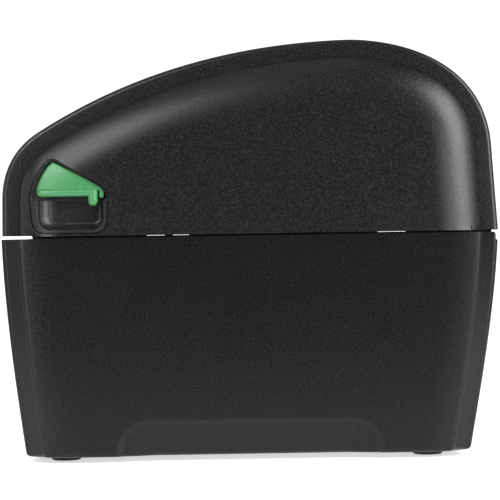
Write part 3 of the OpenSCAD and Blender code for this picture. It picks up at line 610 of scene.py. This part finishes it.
def remesh(piece, voxel, smoothing, keep=1.0):
    """Melts overlapping closed parts into one smooth skin with softly rounded edges."""
    recalculate(piece)
    modifier = piece.modifiers.new("remesh", "REMESH")
    modifier.mode = "VOXEL"
    modifier.voxel_size = voxel * MM
    if smoothing:
        modifier = piece.modifiers.new("smooth", "SMOOTH")
        modifier.factor = 0.5
        modifier.iterations = smoothing
    if keep < 1:
        modifier = piece.modifiers.new("thin_out", "DECIMATE")
        modifier.ratio = keep
    finish_modifiers(piece)


def move_points(piece, rule):
    """Moves the points of a mesh by a rule on their places in millimetres."""
    mesh = piece.data
    places = np.empty(len(mesh.vertices) * 3)
    mesh.vertices.foreach_get("co", places)
    moved = rule(places.reshape(-1, 3) / MM) * MM
    mesh.vertices.foreach_set("co", moved.ravel())
    mesh.update()


def mirrored(piece, name):
    """Copy of a piece on the other side of the middle plane, its faces still pointing outwards."""
    mesh = piece.data.copy()
    mesh.name = name
    twin = bpy.data.objects.new(name, mesh)
    scene.collection.objects.link(twin)
    mesh.transform(Matrix.Scale(-1, 4, Vector((1, 0, 0))))
    mesh.flip_normals()
    shade(twin)
    return twin


LEVER_LOW = 49.7
LEVER_TOP = 52.7
LATCH_PLACE = (-79.8, 119.2)


def lever_outline():
    """Side view of the lever's plate."""
    nose = cubic([[-80, 123.3], [-82, 122.6], [-85.4, 117.8], [-87, 112.4]], 30)
    lower_edge = [[-87, 112.4], [-86.8, 109.6], [-85, 108.9], [-66, 109.5], [-62, 109.5]]
    notch = [[-61.9, 111.6], [-61.3, 111.6], [-61.2, 108.3]]
    rear = [[-59.4, 108.3], [-59.1, 111], [-61.2, 113.5]]
    return round_corners(np.vstack([nose, lower_edge, notch, rear]), 0.3)


def make_lever(name, material):
    """Green release lever: plate with soft edges, the beads a finger pulls, and its hub on the shaft."""
    outline = lever_outline()
    loops = [at_distance(LEVER_LOW, inner_offset(outline, 0.4)), at_distance(LEVER_LOW + 0.4, outline)]
    edge = 0.75
    for angle in np.linspace(0, math.pi / 2, 6):
        inset = edge * (1 - math.cos(angle))
        loops.append(at_distance(LEVER_TOP - edge * (1 - math.sin(angle)), inner_offset(outline, inset)))
    bead_x = LEVER_TOP - 0.35
    pull_x = bead_x - 0.4
    bead = capsule((bead_x, -85.2, 110.6), (bead_x, -64.4, 110.6), 1.6)
    pull = capsule((pull_x, -63.9, 110.5), (pull_x, -63.9, 107.0), 2)
    hub_radius = 3.5
    hub = [[LATCH_PLACE[0] + hub_radius * math.cos(a), LATCH_PLACE[1] + hub_radius * math.sin(a)]
           for a in np.linspace(0, 2 * math.pi, 40, endpoint=False)]
    hub = prism(hub, SLAB_HALF - 2, LEVER_LOW + 1)
    lever = mesh_piece(name, *join([stack(loops), bead, pull, hub]))
    remesh(lever, 0.16, 6, 0.5)

    def follow_crown(places):
        x, y, z = places.T
        drop = HALF_WIDTH - crown_height(y, z)
        return np.column_stack([x - 0.9 * drop * smoothstep((x - LEVER_LOW - 0.3) / 2.5), y, z])

    move_points(lever, follow_crown)
    lever.data.materials.append(material)
    shade(lever, 60)
    return lever


def make_pocket(name, material):
    """Glossy insert of the lever opening: the hollow for a fingertip, the lever's room and its notch."""
    block = mesh_piece(name, *prism(inner_offset(OPENING, 0.25), SLAB_HALF - 3.2, HALF_WIDTH + 2))
    remesh(block, 0.4, 0)

    def under_crown(places):
        x, y, z = places.T
        return np.column_stack([np.minimum(x, crown_height(y, z) - 0.35), y, z])

    move_points(block, under_crown)
    hollow = []
    for angle in np.linspace(0, math.pi / 2, 9):
        pull = 1 - math.sin(angle)
        outline = rounded_rectangle(-87.4 + 10.5 * pull, -59.5 - 2.2 * pull, 95.3 + 3.2 * pull, 107.8,
                                    [5.5 - 2 * pull, 4.2 - 2 * pull, 0.3, 0.3])
        hollow.append(at_distance(HALF_WIDTH - 7.4 * math.cos(angle), outline))
    hollow.append(at_distance(HALF_WIDTH + 3, outline))
    room = clip_above(inner_offset(OPENING, 0.7), 107.7)
    notch = rounded_rectangle(-66.9, -60.9, 103.9, 112, [3, 3, 1, 1])
    floor = LEVER_LOW - 0.1
    shaft_hole = cylinder_along_x(4, SLAB_HALF - 6, OUTSIDE, *LATCH_PLACE)
    room = prism(room.tolist(), floor, OUTSIDE)
    notch = prism(notch, floor, OUTSIDE)
    cut(block, [stack(hollow), room, notch, shaft_hole])
    remesh(block, 0.2, 3, 0.35)
    block.data.materials.append(material)
    shade(block, 60)
    return block


def cylinder_along_x(radius, low, high, y, z, count=64):
    """Closed cylinder along X."""
    turns = np.linspace(0, 2 * math.pi, count, endpoint=False)
    outline = np.column_stack([y + radius * np.cos(turns), z + radius * np.sin(turns)])
    return prism(outline.tolist(), low, high)


def edge_ring(name, outline, radius, material, side):
    """Rounded edge that runs round an opening in the lid's side."""
    steps_along, steps_round = 240, 16
    line = evenly(np.asarray(outline), steps_along, closed=True)
    x = crown_height(line[:, 0], line[:, 1]) - radius
    for _ in range(4):
        x = (np.roll(x, 1) + x + np.roll(x, -1)) / 3
    slopes = np.roll(line, -1, axis=0) - np.roll(line, 1, axis=0)
    slopes /= np.linalg.norm(slopes, axis=1)[:, None]
    across = np.column_stack([-slopes[:, 1], slopes[:, 0]])
    loops = []
    for angle in np.linspace(0, 2 * math.pi, steps_round, endpoint=False):
        moved = line + across * radius * math.cos(angle)
        loops.append(np.column_stack([side * (x + radius * math.sin(angle)), moved]))
    faces = grid_faces(steps_round, steps_along, closed_rows=True, closed_columns=True)
    ring = mesh_piece(name, np.vstack(loops), faces, material)
    recalculate(ring)
    shade(ring, 60)
    return ring


# Finishes


class Field:
    """A value in a graph of nodes; arithmetic on it adds nodes to the graph."""

    def __init__(self, graph, socket):
        self.graph = graph
        self.socket = socket

    def combine(self, operation, *values):
        return self.graph.node("ShaderNodeMath", {"operation": operation}, dict(enumerate(values)))

    def __add__(self, other):
        return self.combine("ADD", self, other)

    def __radd__(self, other):
        return self.combine("ADD", other, self)

    def __sub__(self, other):
        return self.combine("SUBTRACT", self, other)

    def __rsub__(self, other):
        return self.combine("SUBTRACT", other, self)

    def __mul__(self, other):
        return self.combine("MULTIPLY", self, other)

    def __rmul__(self, other):
        return self.combine("MULTIPLY", other, self)

    def clamped(self):
        return self.graph.node("ShaderNodeClamp", {}, {0: self})


class Graph:
    """Nodes of a finish or of a shape."""

    def __init__(self, tree, family):
        self.tree = tree
        self.family = family

    def node(self, kind, settings, inputs, output=0):
        """Adds a node: its settings first, then the values or links of its inputs."""
        made = self.tree.nodes.new(kind if "Node" in kind else self.family + kind)
        for name, value in settings.items():
            setattr(made, name, value)
        for key, value in inputs.items():
            if isinstance(value, Field):
                self.tree.links.new(value.socket, made.inputs[key])
            elif isinstance(value, list):
                for field in value:
                    self.tree.links.new(field.socket, made.inputs[key])
            else:
                made.inputs[key].default_value = value
        return Field(self, made.outputs[output] if made.outputs else None)


class Finish(Graph):
    """A material made of nodes, whose patterns lie in the object's own millimetre-fine coordinates."""

    def __init__(self, name):
        self.material = bpy.data.materials.new(name)
        self.material.use_nodes = True
        super().__init__(self.material.node_tree, "ShaderNode")
        self.tree.nodes.clear()
        self.place = self.node("TexCoord", {}, {}, "Object")

    def noise(self, size, detail=2, roughness=0.5, place=None):
        """Cloudy pattern of 0 to 1 whose spots are about a size in millimetres."""
        inputs = {"Vector": place or self.place, "Scale": 1 / (size * MM), "Detail": detail}
        return self.node("TexNoise", {}, inputs | {"Roughness": roughness})

    def cells(self, size):
        """Distances to the middles of irregular cells."""
        return self.node("TexVoronoi", {}, {"Vector": self.place, "Scale": 1 / (size * MM)})

    def ramp(self, value, low, high):
        """Runs from 0 to 1 while a value goes from low to high."""
        return self.node("MapRange", {"clamp": True}, {0: value, 1: low, 2: high, 3: 0.0, 4: 1.0})

    def stretched(self, x, y, z):
        """Coordinates stretched along the axes, for brushed and drawn surfaces."""
        return self.node("Mapping", {}, {"Vector": self.place, "Scale": (x, y, z)})

    def mix(self, factor, first, second):
        """Colour between two colours."""
        return self.node("Mix", {"data_type": "RGBA"}, {0: factor, 6: first, 7: second}, 2)

    def edges(self):
        """1 on raised edges and corners, 0 on flat and hollow places."""
        point = self.node("NewGeometry", {}, {}, "Pointiness")
        return self.ramp(point, 0.52, 0.6)

    def bump(self, height, depth, below=None):
        """Relief of a depth in millimetres."""
        inputs = {"Height": height, "Distance": depth * MM}
        if below:
            inputs["Normal"] = below
        return self.node("Bump", {}, inputs)

    def surface(self, colour, roughness, normal=None, metallic=0.0, **constants):
        """Ends the material with its shader."""
        inputs = {"Base Color": colour, "Roughness": roughness, "Metallic": metallic}
        if normal:
            inputs["Normal"] = normal
        for name, value in constants.items():
            inputs[name.replace("_", " ").title().replace("Ior", "IOR")] = value
        shader = self.node("BsdfPrincipled", {}, inputs)
        self.node("OutputMaterial", {}, {"Surface": shader})
        return self.material


def grey(value, warmth=0.0):
    """Nearly neutral colour."""
    return (value * (1 + warmth), value, value * (1 - warmth), 1)


def scaled(colour, factor):
    """A colour made lighter or darker."""
    return tuple(channel * factor for channel in colour[:3]) + (1,)


def moulded_plastic(name, colour, roughness, grain, depth, sheen=0.015, **constants):
    """Injection moulded plastic with an eroded grain, faint clouds, lighter specks that are painted glints
    of the grain, and painted highlights on raised edges.
    """
    finish = Finish(name)
    clouds = finish.noise(34, 3)
    grains = finish.noise(grain, 2, 0.6)
    pits = finish.cells(grain * 1.7)
    # Lighter specks in the colour stand for glints on the grain: painted glints
    glint_specks = finish.ramp(finish.noise(grain * 0.8, 1), 0.42, 0.75)
    edges = finish.edges()
    dark, light = scaled(colour, 0.6), scaled(colour, 2.6)
    body = finish.mix((0.85 * glint_specks + 0.15 * clouds).clamped(), dark, light)
    # Raised edges are painted lighter: painted highlights
    edge_highlit = finish.mix(edges * 0.5, body, scaled(colour, 2.2))
    dull = (roughness - sheen) + sheen * 2 * clouds - edges * 0.08 + (glint_specks - 0.4) * 0.08
    relief = finish.bump(grains * 0.7 + pits * 0.3, depth)
    return finish.surface(edge_highlit, dull, relief, **constants)


def gloss_plastic(name, colour, roughness=0.16, **constants):
    """Polished plastic with fine handling marks, a slight waviness and painted highlights on raised edges.
    """
    finish = Finish(name)
    waves = finish.noise(9, 1)
    clouds = finish.noise(18, 4, 0.6)
    hairs = finish.noise(0.5, 3, 0.7, finish.stretched(1, 0.12, 1))
    marks = finish.ramp(hairs, 0.58, 0.75)
    edges = finish.edges()
    # Raised edges are painted lighter: painted highlights; the clouds are tone that differs at random
    body = finish.mix((clouds * 0.7 + edges * 0.5).clamped(), scaled(colour, 0.8), scaled(colour, 1.35))
    dull = roughness + clouds * 0.06 + marks * 0.14
    relief = finish.bump(marks * 0.15 + waves, 0.02)
    return finish.surface(body, dull, relief, **constants)


def rubber(name):
    """Soft rubber with a dusty, slightly mottled skin."""
    finish = Finish(name)
    fine = finish.noise(0.35, 3, 0.6)
    dust = finish.ramp(finish.noise(6, 4, 0.6), 0.45, 0.8)
    body = finish.mix(dust * 0.6 + fine * 0.2, grey(0.012), grey(0.045, 0.03))
    return finish.surface(body, 0.72 + 0.14 * dust, finish.bump(fine, 0.02), specular_ior_level=0.35)


def metal(name, colour, roughness, stretch, blotch=0.25):
    """Plated or drawn metal: fine lines one way, blotches of a thin oxide, and painted highlights on raised
    edges.
    """
    finish = Finish(name)
    lines = finish.noise(0.35, 3, 0.6, finish.stretched(*stretch))
    blotches = finish.ramp(finish.noise(7, 4, 0.6), 0.35, 0.75)
    scratches = finish.ramp(finish.noise(0.8, 2, 0.7, finish.stretched(0.1, 1, 0.3)), 0.66, 0.72)
    edges = finish.edges()
    body = finish.mix((blotches * blotch + lines * 0.3).clamped(), colour, scaled(colour, 0.68))
    # Raised edges are painted lighter, as painted highlights; the scratches are lighter too
    bright = finish.mix((edges * 0.6 + scratches * 0.3).clamped(), body, scaled(colour, 1.12))
    dull = roughness + 0.14 * blotches + 0.1 * lines - 0.1 * edges
    return finish.surface(bright, dull, finish.bump(lines + scratches, 0.008), 1.0)


def circuit_board(name):
    """Green solder mask over copper: broad plain fields, straight tracks and tinned dots."""
    finish = Finish(name)
    across = finish.node("TexBrick", {"offset": 0.37, "squash": 0.6},
                         {"Vector": finish.place, "Scale": 110.0, "Mortar Size": 0.05, "Row Height": 0.18,
                          "Brick Width": 1.3}, 1)
    fields = finish.ramp(finish.noise(16, 1), 0.5, 0.52)
    dots = 1 - finish.ramp(finish.cells(2.6), 0.12, 0.16)
    tracks = across * fields
    mask = finish.mix(tracks * 0.7, (0.012, 0.10, 0.035, 1), (0.03, 0.2, 0.07, 1))
    body = finish.mix(dots * fields, mask, (0.55, 0.55, 0.52, 1))
    return finish.surface(body, 0.32 + 0.1 * finish.noise(4), finish.bump(tracks + dots, 0.03))


def ribbon_cable(name):
    """Flat cable: pale wires side by side, slightly yellowed."""
    finish = Finish(name)
    wires = finish.node("TexWave", {"bands_direction": "X"}, {"Vector": finish.place, "Scale": 160.0}, 1)
    clouds = finish.noise(12, 3)
    body = finish.mix((wires * 0.6 + clouds * 0.4).clamped(), (0.42, 0.41, 0.36, 1), (0.78, 0.77, 0.7, 1))
    return finish.surface(body, 0.42 + 0.15 * clouds, finish.bump(wires, 0.12))


def ceramic(name):
    """Glazed ceramic with the dark resistor line and pale conductor tracks of a print head."""
    finish = Finish(name)
    tracks = finish.node("TexWave", {"bands_direction": "X"}, {"Vector": finish.place, "Scale": 320.0}, 1)
    clouds = finish.noise(8, 3)
    body = finish.mix((tracks * 0.5 + clouds * 0.4).clamped(), (0.62, 0.56, 0.44, 1), (0.86, 0.83, 0.74, 1))
    return finish.surface(body, 0.14 + 0.1 * clouds, finish.bump(tracks, 0.01))


def frosted_lens(name):
    """Milky light ring of the feed button."""
    finish = Finish(name)
    fine = finish.noise(0.4, 2)
    body = finish.mix(finish.noise(5, 3), (0.62, 0.66, 0.64, 1), (0.86, 0.89, 0.87, 1))
    return finish.surface(body, 0.38 + 0.12 * fine, finish.bump(fine, 0.01), transmission_weight=0.25)


LID_PLASTIC = moulded_plastic("lid_plastic", grey(0.0065), 0.335, 0.8, 0.05, specular_ior_level=0.4)
BASE_PLASTIC = moulded_plastic("base_plastic", grey(0.0038), 0.345, 0.85, 0.055, specular_ior_level=0.27)
POCKET_PLASTIC = moulded_plastic("pocket_plastic", grey(0.012), 0.36, 0.5, 0.02, specular_ior_level=0.36)
INNER_PLASTIC = moulded_plastic("inner_plastic", grey(0.03), 0.5, 0.5, 0.02)
GLOSS_BLACK = gloss_plastic("gloss_black", grey(0.01), 0.26)
GREEN_PLASTIC = gloss_plastic("green_plastic", (0.052, 0.24, 0.085, 1), 0.3, subsurface_weight=0.08,
                              subsurface_scale=0.0015)
WHITE_PLASTIC = moulded_plastic("white_plastic", (0.55, 0.55, 0.52, 1), 0.42, 0.9, 0.006,
                                subsurface_weight=0.1, subsurface_scale=0.001)
SOFT_RUBBER = rubber("soft_rubber")
STEEL = metal("steel", (0.56, 0.57, 0.58, 1), 0.26, (0.15, 1, 1))
ALUMINIUM = metal("aluminium", (0.78, 0.79, 0.8, 1), 0.3, (1, 0.1, 1), 0.15)
BRONZE = metal("bronze", (0.62, 0.46, 0.24, 1), 0.34, (1, 1, 1))
BOARD = circuit_board("board")
CHIPS = moulded_plastic("chips", grey(0.02), 0.4, 0.7, 0.006)
CABLE = ribbon_cable("cable")
CERAMIC = ceramic("ceramic")
LENS = frosted_lens("lens")

NODE_FINISHES = [
    (BASE_PLASTIC, ["base_housing"]),
    (LID_PLASTIC, ["lid_shell"]),
    (INNER_PLASTIC, ["bottom_plate", "rear_panel", "media_tub", "label_deck", "guide_right", "guide_left",
                     "hinge_mounts", "lid_liner", "lid_hinge_arms", "feed_button"]),
    (GLOSS_BLACK, ["switch_frame", "switch_rocker", "label_sensor", "finger_pocket_right",
                   "finger_pocket_left"]),
    (GREEN_PLASTIC, ["lever_right", "lever_left"]),
    (WHITE_PLASTIC, ["idler_gear", "platen_gear", "guide_pinion"]),
    (SOFT_RUBBER, ["rubber_feet", "platen_rubber"]),
    (STEEL, ["bottom_screws", "panel_screws", "usb_socket", "serial_socket", "print_frame", "catch_pins",
             "idler_stud", "motor_body", "platen_shaft", "guide_pinion_stud", "hinge_pins", "lid_screws",
             "tear_bar", "head_bracket", "head_pivot_pin", "head_springs", "latch_shaft", "latch_hooks",
             "latch_spring"]),
    (ALUMINIUM, ["head_heat_sink"]),
    (BRONZE, ["frame_bushes", "motor_pinion"]),
    (BOARD, ["main_board", "button_board"]),
    (CHIPS, ["board_parts", "power_socket"]),
    (CABLE, ["head_cable"]),
    (CERAMIC, ["head_ceramic"]),
    (LENS, ["light_ring"]),
]


def dress_nodes():
    """Gives every CAD node its finish."""
    for material, names in NODE_FINISHES:
        for name in names:
            mesh_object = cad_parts[name]
            for slot in mesh_object.material_slots:
                slot.material = material


# Screws


PANEL_SCREW_Y = 87.85
LID_BOSSES = ((39.8, -63), (38.5, 84))
SCREW_SIZES = {"Head Radius": 2.5, "Head Height": 1.75, "Shank Radius": 1.3, "Length": 7, "Recess": 0.6}


def screw_tree():
    """Geometry nodes that put a pan-head screw with a cross recess on every point of a mesh.

    A screw's head hangs below its point and its shank rises above it; the crosses are turned at random.
    """
    tree = bpy.data.node_groups.new("screws", "GeometryNodeTree")
    tree.interface.new_socket("Places", in_out="INPUT", socket_type="NodeSocketGeometry")
    tree.interface.new_socket("Screws", in_out="OUTPUT", socket_type="NodeSocketGeometry")
    for name in SCREW_SIZES:
        tree.interface.new_socket(name, in_out="INPUT", socket_type="NodeSocketFloat")
    tree.interface.new_socket("Turn", in_out="INPUT", socket_type="NodeSocketVector")
    tree.interface.new_socket("Finish", in_out="INPUT", socket_type="NodeSocketMaterial")
    graph = Graph(tree, "GeometryNode")

    def given(name):
        return graph.node("NodeGroupInput", {}, {}, name)

    def vector(x, y, z):
        return graph.node("ShaderNodeCombineXYZ", {}, {0: x, 1: y, 2: z})

    radius, height, width = given("Head Radius"), given("Head Height"), given("Recess")
    ball = graph.node("MeshUVSphere", {}, {"Segments": 40, "Rings": 20, "Radius": radius})
    place = graph.node("InputPosition", {}, {})
    x, y, z = (graph.node("ShaderNodeSeparateXYZ", {}, {0: place}, axis) for axis in "XYZ")
    flattened = z.combine("MAXIMUM", z, height * -1.0)
    flattened = z.combine("MINIMUM", flattened, 0.0)
    head = graph.node("SetPosition", {}, {"Geometry": ball, "Position": vector(x, y, flattened)})
    bars = []
    at_top = vector(0.0, 0.0, height * -1.0)
    for size in (vector(radius * 1.2, width, height * 1.1), vector(width, radius * 1.2, height * 1.1)):
        bar = graph.node("MeshCube", {}, {"Size": size})
        bars.append(graph.node("Transform", {}, {"Geometry": bar, "Translation": at_top}))
    head = graph.node("MeshBoolean", {"operation": "DIFFERENCE"}, {"Mesh 1": head, "Mesh 2": bars})
    length, shank_radius = given("Length"), given("Shank Radius")
    shank = graph.node("MeshCylinder", {}, {"Vertices": 24, "Radius": shank_radius, "Depth": length})
    shank = graph.node("Transform", {}, {"Geometry": shank, "Translation": vector(0.0, 0.0, length * 0.5)})
    screw = graph.node("JoinGeometry", {}, {"Geometry": [head, shank]})
    screws = graph.node("InstanceOnPoints", {}, {"Points": given("Places"), "Instance": screw,
                                                 "Rotation": given("Turn")})
    spin = graph.node("FunctionNodeRandomValue", {}, {2: 0.0, 3: math.pi, "Seed": 7}, 1)
    screws = graph.node("RotateInstances", {}, {"Instances": screws, "Rotation": vector(0.0, 0.0, spin)})
    solid = graph.node("RealizeInstances", {}, {"Geometry": screws})
    solid = graph.node("SetMaterial", {}, {"Geometry": solid, "Material": given("Finish")})
    graph.node("NodeGroupOutput", {}, {"Screws": solid})
    return tree


def make_screws(name, tree, places, turn, **sizes):
    """Screws at places in millimetres, turned by angles about the axes."""
    piece = mesh_piece(name, places, [], STEEL)
    modifier = piece.modifiers.new("screws", "NODES")
    modifier.node_group = tree
    values = {key: value * MM for key, value in (SCREW_SIZES | sizes).items()}
    values |= {"Turn": turn, "Finish": STEEL}
    for socket in tree.interface.items_tree:
        if socket.name in values:
            modifier[socket.identifier] = values[socket.name]
    finish_modifiers(piece)
    shade(piece, 35)
    return piece


# Studio


def look_at(place, target, up):
    """Matrix of a camera or lamp at a place that looks at a target."""
    back = (Vector(place) - Vector(target)).normalized()
    right = Vector(up).cross(back).normalized()
    turned = Matrix((right, back.cross(right), back)).transposed()
    return Matrix.Translation(Vector(place)) @ turned.to_4x4()


def add_camera():
    """Long lens square to the right side, at the photograph's slight tilt."""
    tilt = math.radians(0.91)
    yaw = math.radians(0.5)
    target = Vector((SLAB_HALF * MM, -0.0001, 0.086))
    distance = 0.853
    place = target + distance * Vector((math.cos(yaw), -math.sin(yaw), 0.0075))
    data = bpy.data.cameras.new("camera")
    data.lens = 149.5
    data.sensor_width = 36
    data.clip_start = 0.01
    camera = bpy.data.objects.new("camera", data)
    camera.matrix_world = look_at(place, target, (0, math.sin(tilt), math.cos(tilt)))
    scene.collection.objects.link(camera)
    scene.camera = camera


def add_softbox(name, place, target, width, height, watts):
    """Rectangular lamp that faces a target."""
    data = bpy.data.lights.new(name, "AREA")
    data.shape = "RECTANGLE"
    data.size = width
    data.size_y = height
    data.energy = watts
    lamp = bpy.data.objects.new(name, data)
    lamp.matrix_world = look_at(place, target, (0, 0, 1))
    scene.collection.objects.link(lamp)


def around(angle, distance, height):
    """Place at an angle from +X towards +Y."""
    return (distance * math.cos(math.radians(angle)), distance * math.sin(math.radians(angle)), height)


def make_world():
    """Surroundings that look white, and that shine on the object only from behind it."""
    world = bpy.data.worlds.new("studio")
    world.use_nodes = True
    world.node_tree.nodes.clear()
    graph = Graph(world.node_tree, "ShaderNode")
    direction = graph.node("TexCoord", {}, {}, "Generated")
    ahead = graph.node("SeparateXYZ", {}, {0: direction})
    shine = graph.node("MapRange", {}, {0: ahead, 1: 0.05, 2: -0.35, 3: 0.03, 4: 1.0})
    seen = graph.node("LightPath", {}, {}, "Is Camera Ray")
    strength = graph.node("MapRange", {}, {0: seen, 3: shine, 4: 1.6})
    light = graph.node("Background", {}, {"Strength": strength})
    graph.node("OutputWorld", {}, {"Surface": light})
    return world


def add_studio():
    """White surroundings, large soft lamps and a pale floor."""
    scene.world = make_world()
    middle = (0, 0, 0.09)
    add_softbox("rear_softbox", around(53, 0.88, 0.42), middle, 0.36, 0.8, 10.5)
    add_softbox("front_softbox", around(-36, 0.80, 0.6), middle, 0.55, 0.45, 5.4)
    add_softbox("low_front_softbox", around(-36, 1.0, 0.12), middle, 0.22, 0.3, 1.5)
    add_softbox("low_rear_softbox", around(32, 1.0, 0.12), middle, 0.2, 0.3, 0.8)
    add_softbox("side_softbox", around(-76, 1.0, 0.25), middle, 0.35, 0.5, 0.8)
    add_softbox("top_softbox", around(-10, 0.35, 1.0), middle, 0.5, 0.5, 0.4)
    floor = Finish("floor")
    shade_of_floor = floor.mix(floor.noise(60, 3), grey(0.9), grey(0.93))
    material = floor.surface(shade_of_floor, 0.6, emission_color=(1, 1, 1, 1), emission_strength=0.6)
    rear, side, front = -450, 450, 300
    corners = [[rear, -side, 0], [front, -side, 0], [front, side, 0], [rear, side, 0]]
    mesh_piece("floor", corners, [[0, 1, 2, 3]], material)
    scene.view_settings.view_transform = "Standard"
    scene.view_settings.look = "None"


# Assembly


def place_piece(piece, body, slot, *replaced):
    """Lets a piece ride on a body and hides the nodes it stands for; its slot is not used."""
    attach(piece, body)
    if replaced:
        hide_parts(*replaced)


def build():
    """Dresses the CAD nodes and makes the lid, the base, the seam lips, the opening edges, the levers and
    the finger pockets.
    """
    dress_nodes()
    place_piece(make_lid(LID_PLASTIC), "lid", "black_plastic", "lid_shell")
    place_piece(make_base(BASE_PLASTIC), "base", "black_plastic", "base_housing")
    for side, word, gaps in ((1, "right", RIGHT_LIP_GAPS), (-1, "left", LEFT_LIP_GAPS)):
        lip = mesh_piece("seam_lip_" + word, *lip_mesh(side, gaps), BASE_PLASTIC)
        recalculate(lip)
        shade(lip)
        place_piece(lip, "base", "black_plastic")
        ring = edge_ring("opening_edge_" + word, inner_offset(OPENING, -0.4), 0.4, LID_PLASTIC, side)
        place_piece(ring, "lid", "black_plastic")
    lever = make_lever("release_lever_right", GREEN_PLASTIC)
    place_piece(mirrored(lever, "release_lever_left"), "latch", "green_plastic", "lever_left")
    place_piece(lever, "latch", "green_plastic", "lever_right")
    pocket = make_pocket("pocket_right", POCKET_PLASTIC)
    place_piece(mirrored(pocket, "pocket_left"), "lid", "gloss_black", "finger_pocket_left")
    place_piece(pocket, "lid", "gloss_black", "finger_pocket_right")


def build_screws():
    """Screws of the bottom plate, of the rear panel and of the lid's inner roof."""
    tree = screw_tree()
    upright = (0.0, 0.0, 0.0)
    places = [[x, y, FOOT_HEIGHT + 1.5] for x in (-30, 30) for y in (-62, 58)]
    place_piece(make_screws("bottom_plate_screws", tree, places, upright), "base", "steel", "bottom_screws")
    places = [[x, PANEL_SCREW_Y, 22] for x in (-39.3, 39.4)]
    screws = make_screws("rear_panel_screws", tree, places, (math.pi / 2, 0.0, 0.0),
                         **{"Head Radius": 1.6, "Head Height": 1.12, "Shank Radius": 1.1, "Length": 5,
                            "Recess": 0.45})
    place_piece(screws, "base", "steel", "panel_screws")
    places = [[side * x, y, 94.1] for side in (-1, 1) for x, y in LID_BOSSES]
    screws = make_screws("lid_roof_screws", tree, places, upright, Length=1.95)
    place_piece(screws, "lid", "steel", "lid_screws")


add_camera()
add_studio()
build()
build_screws()
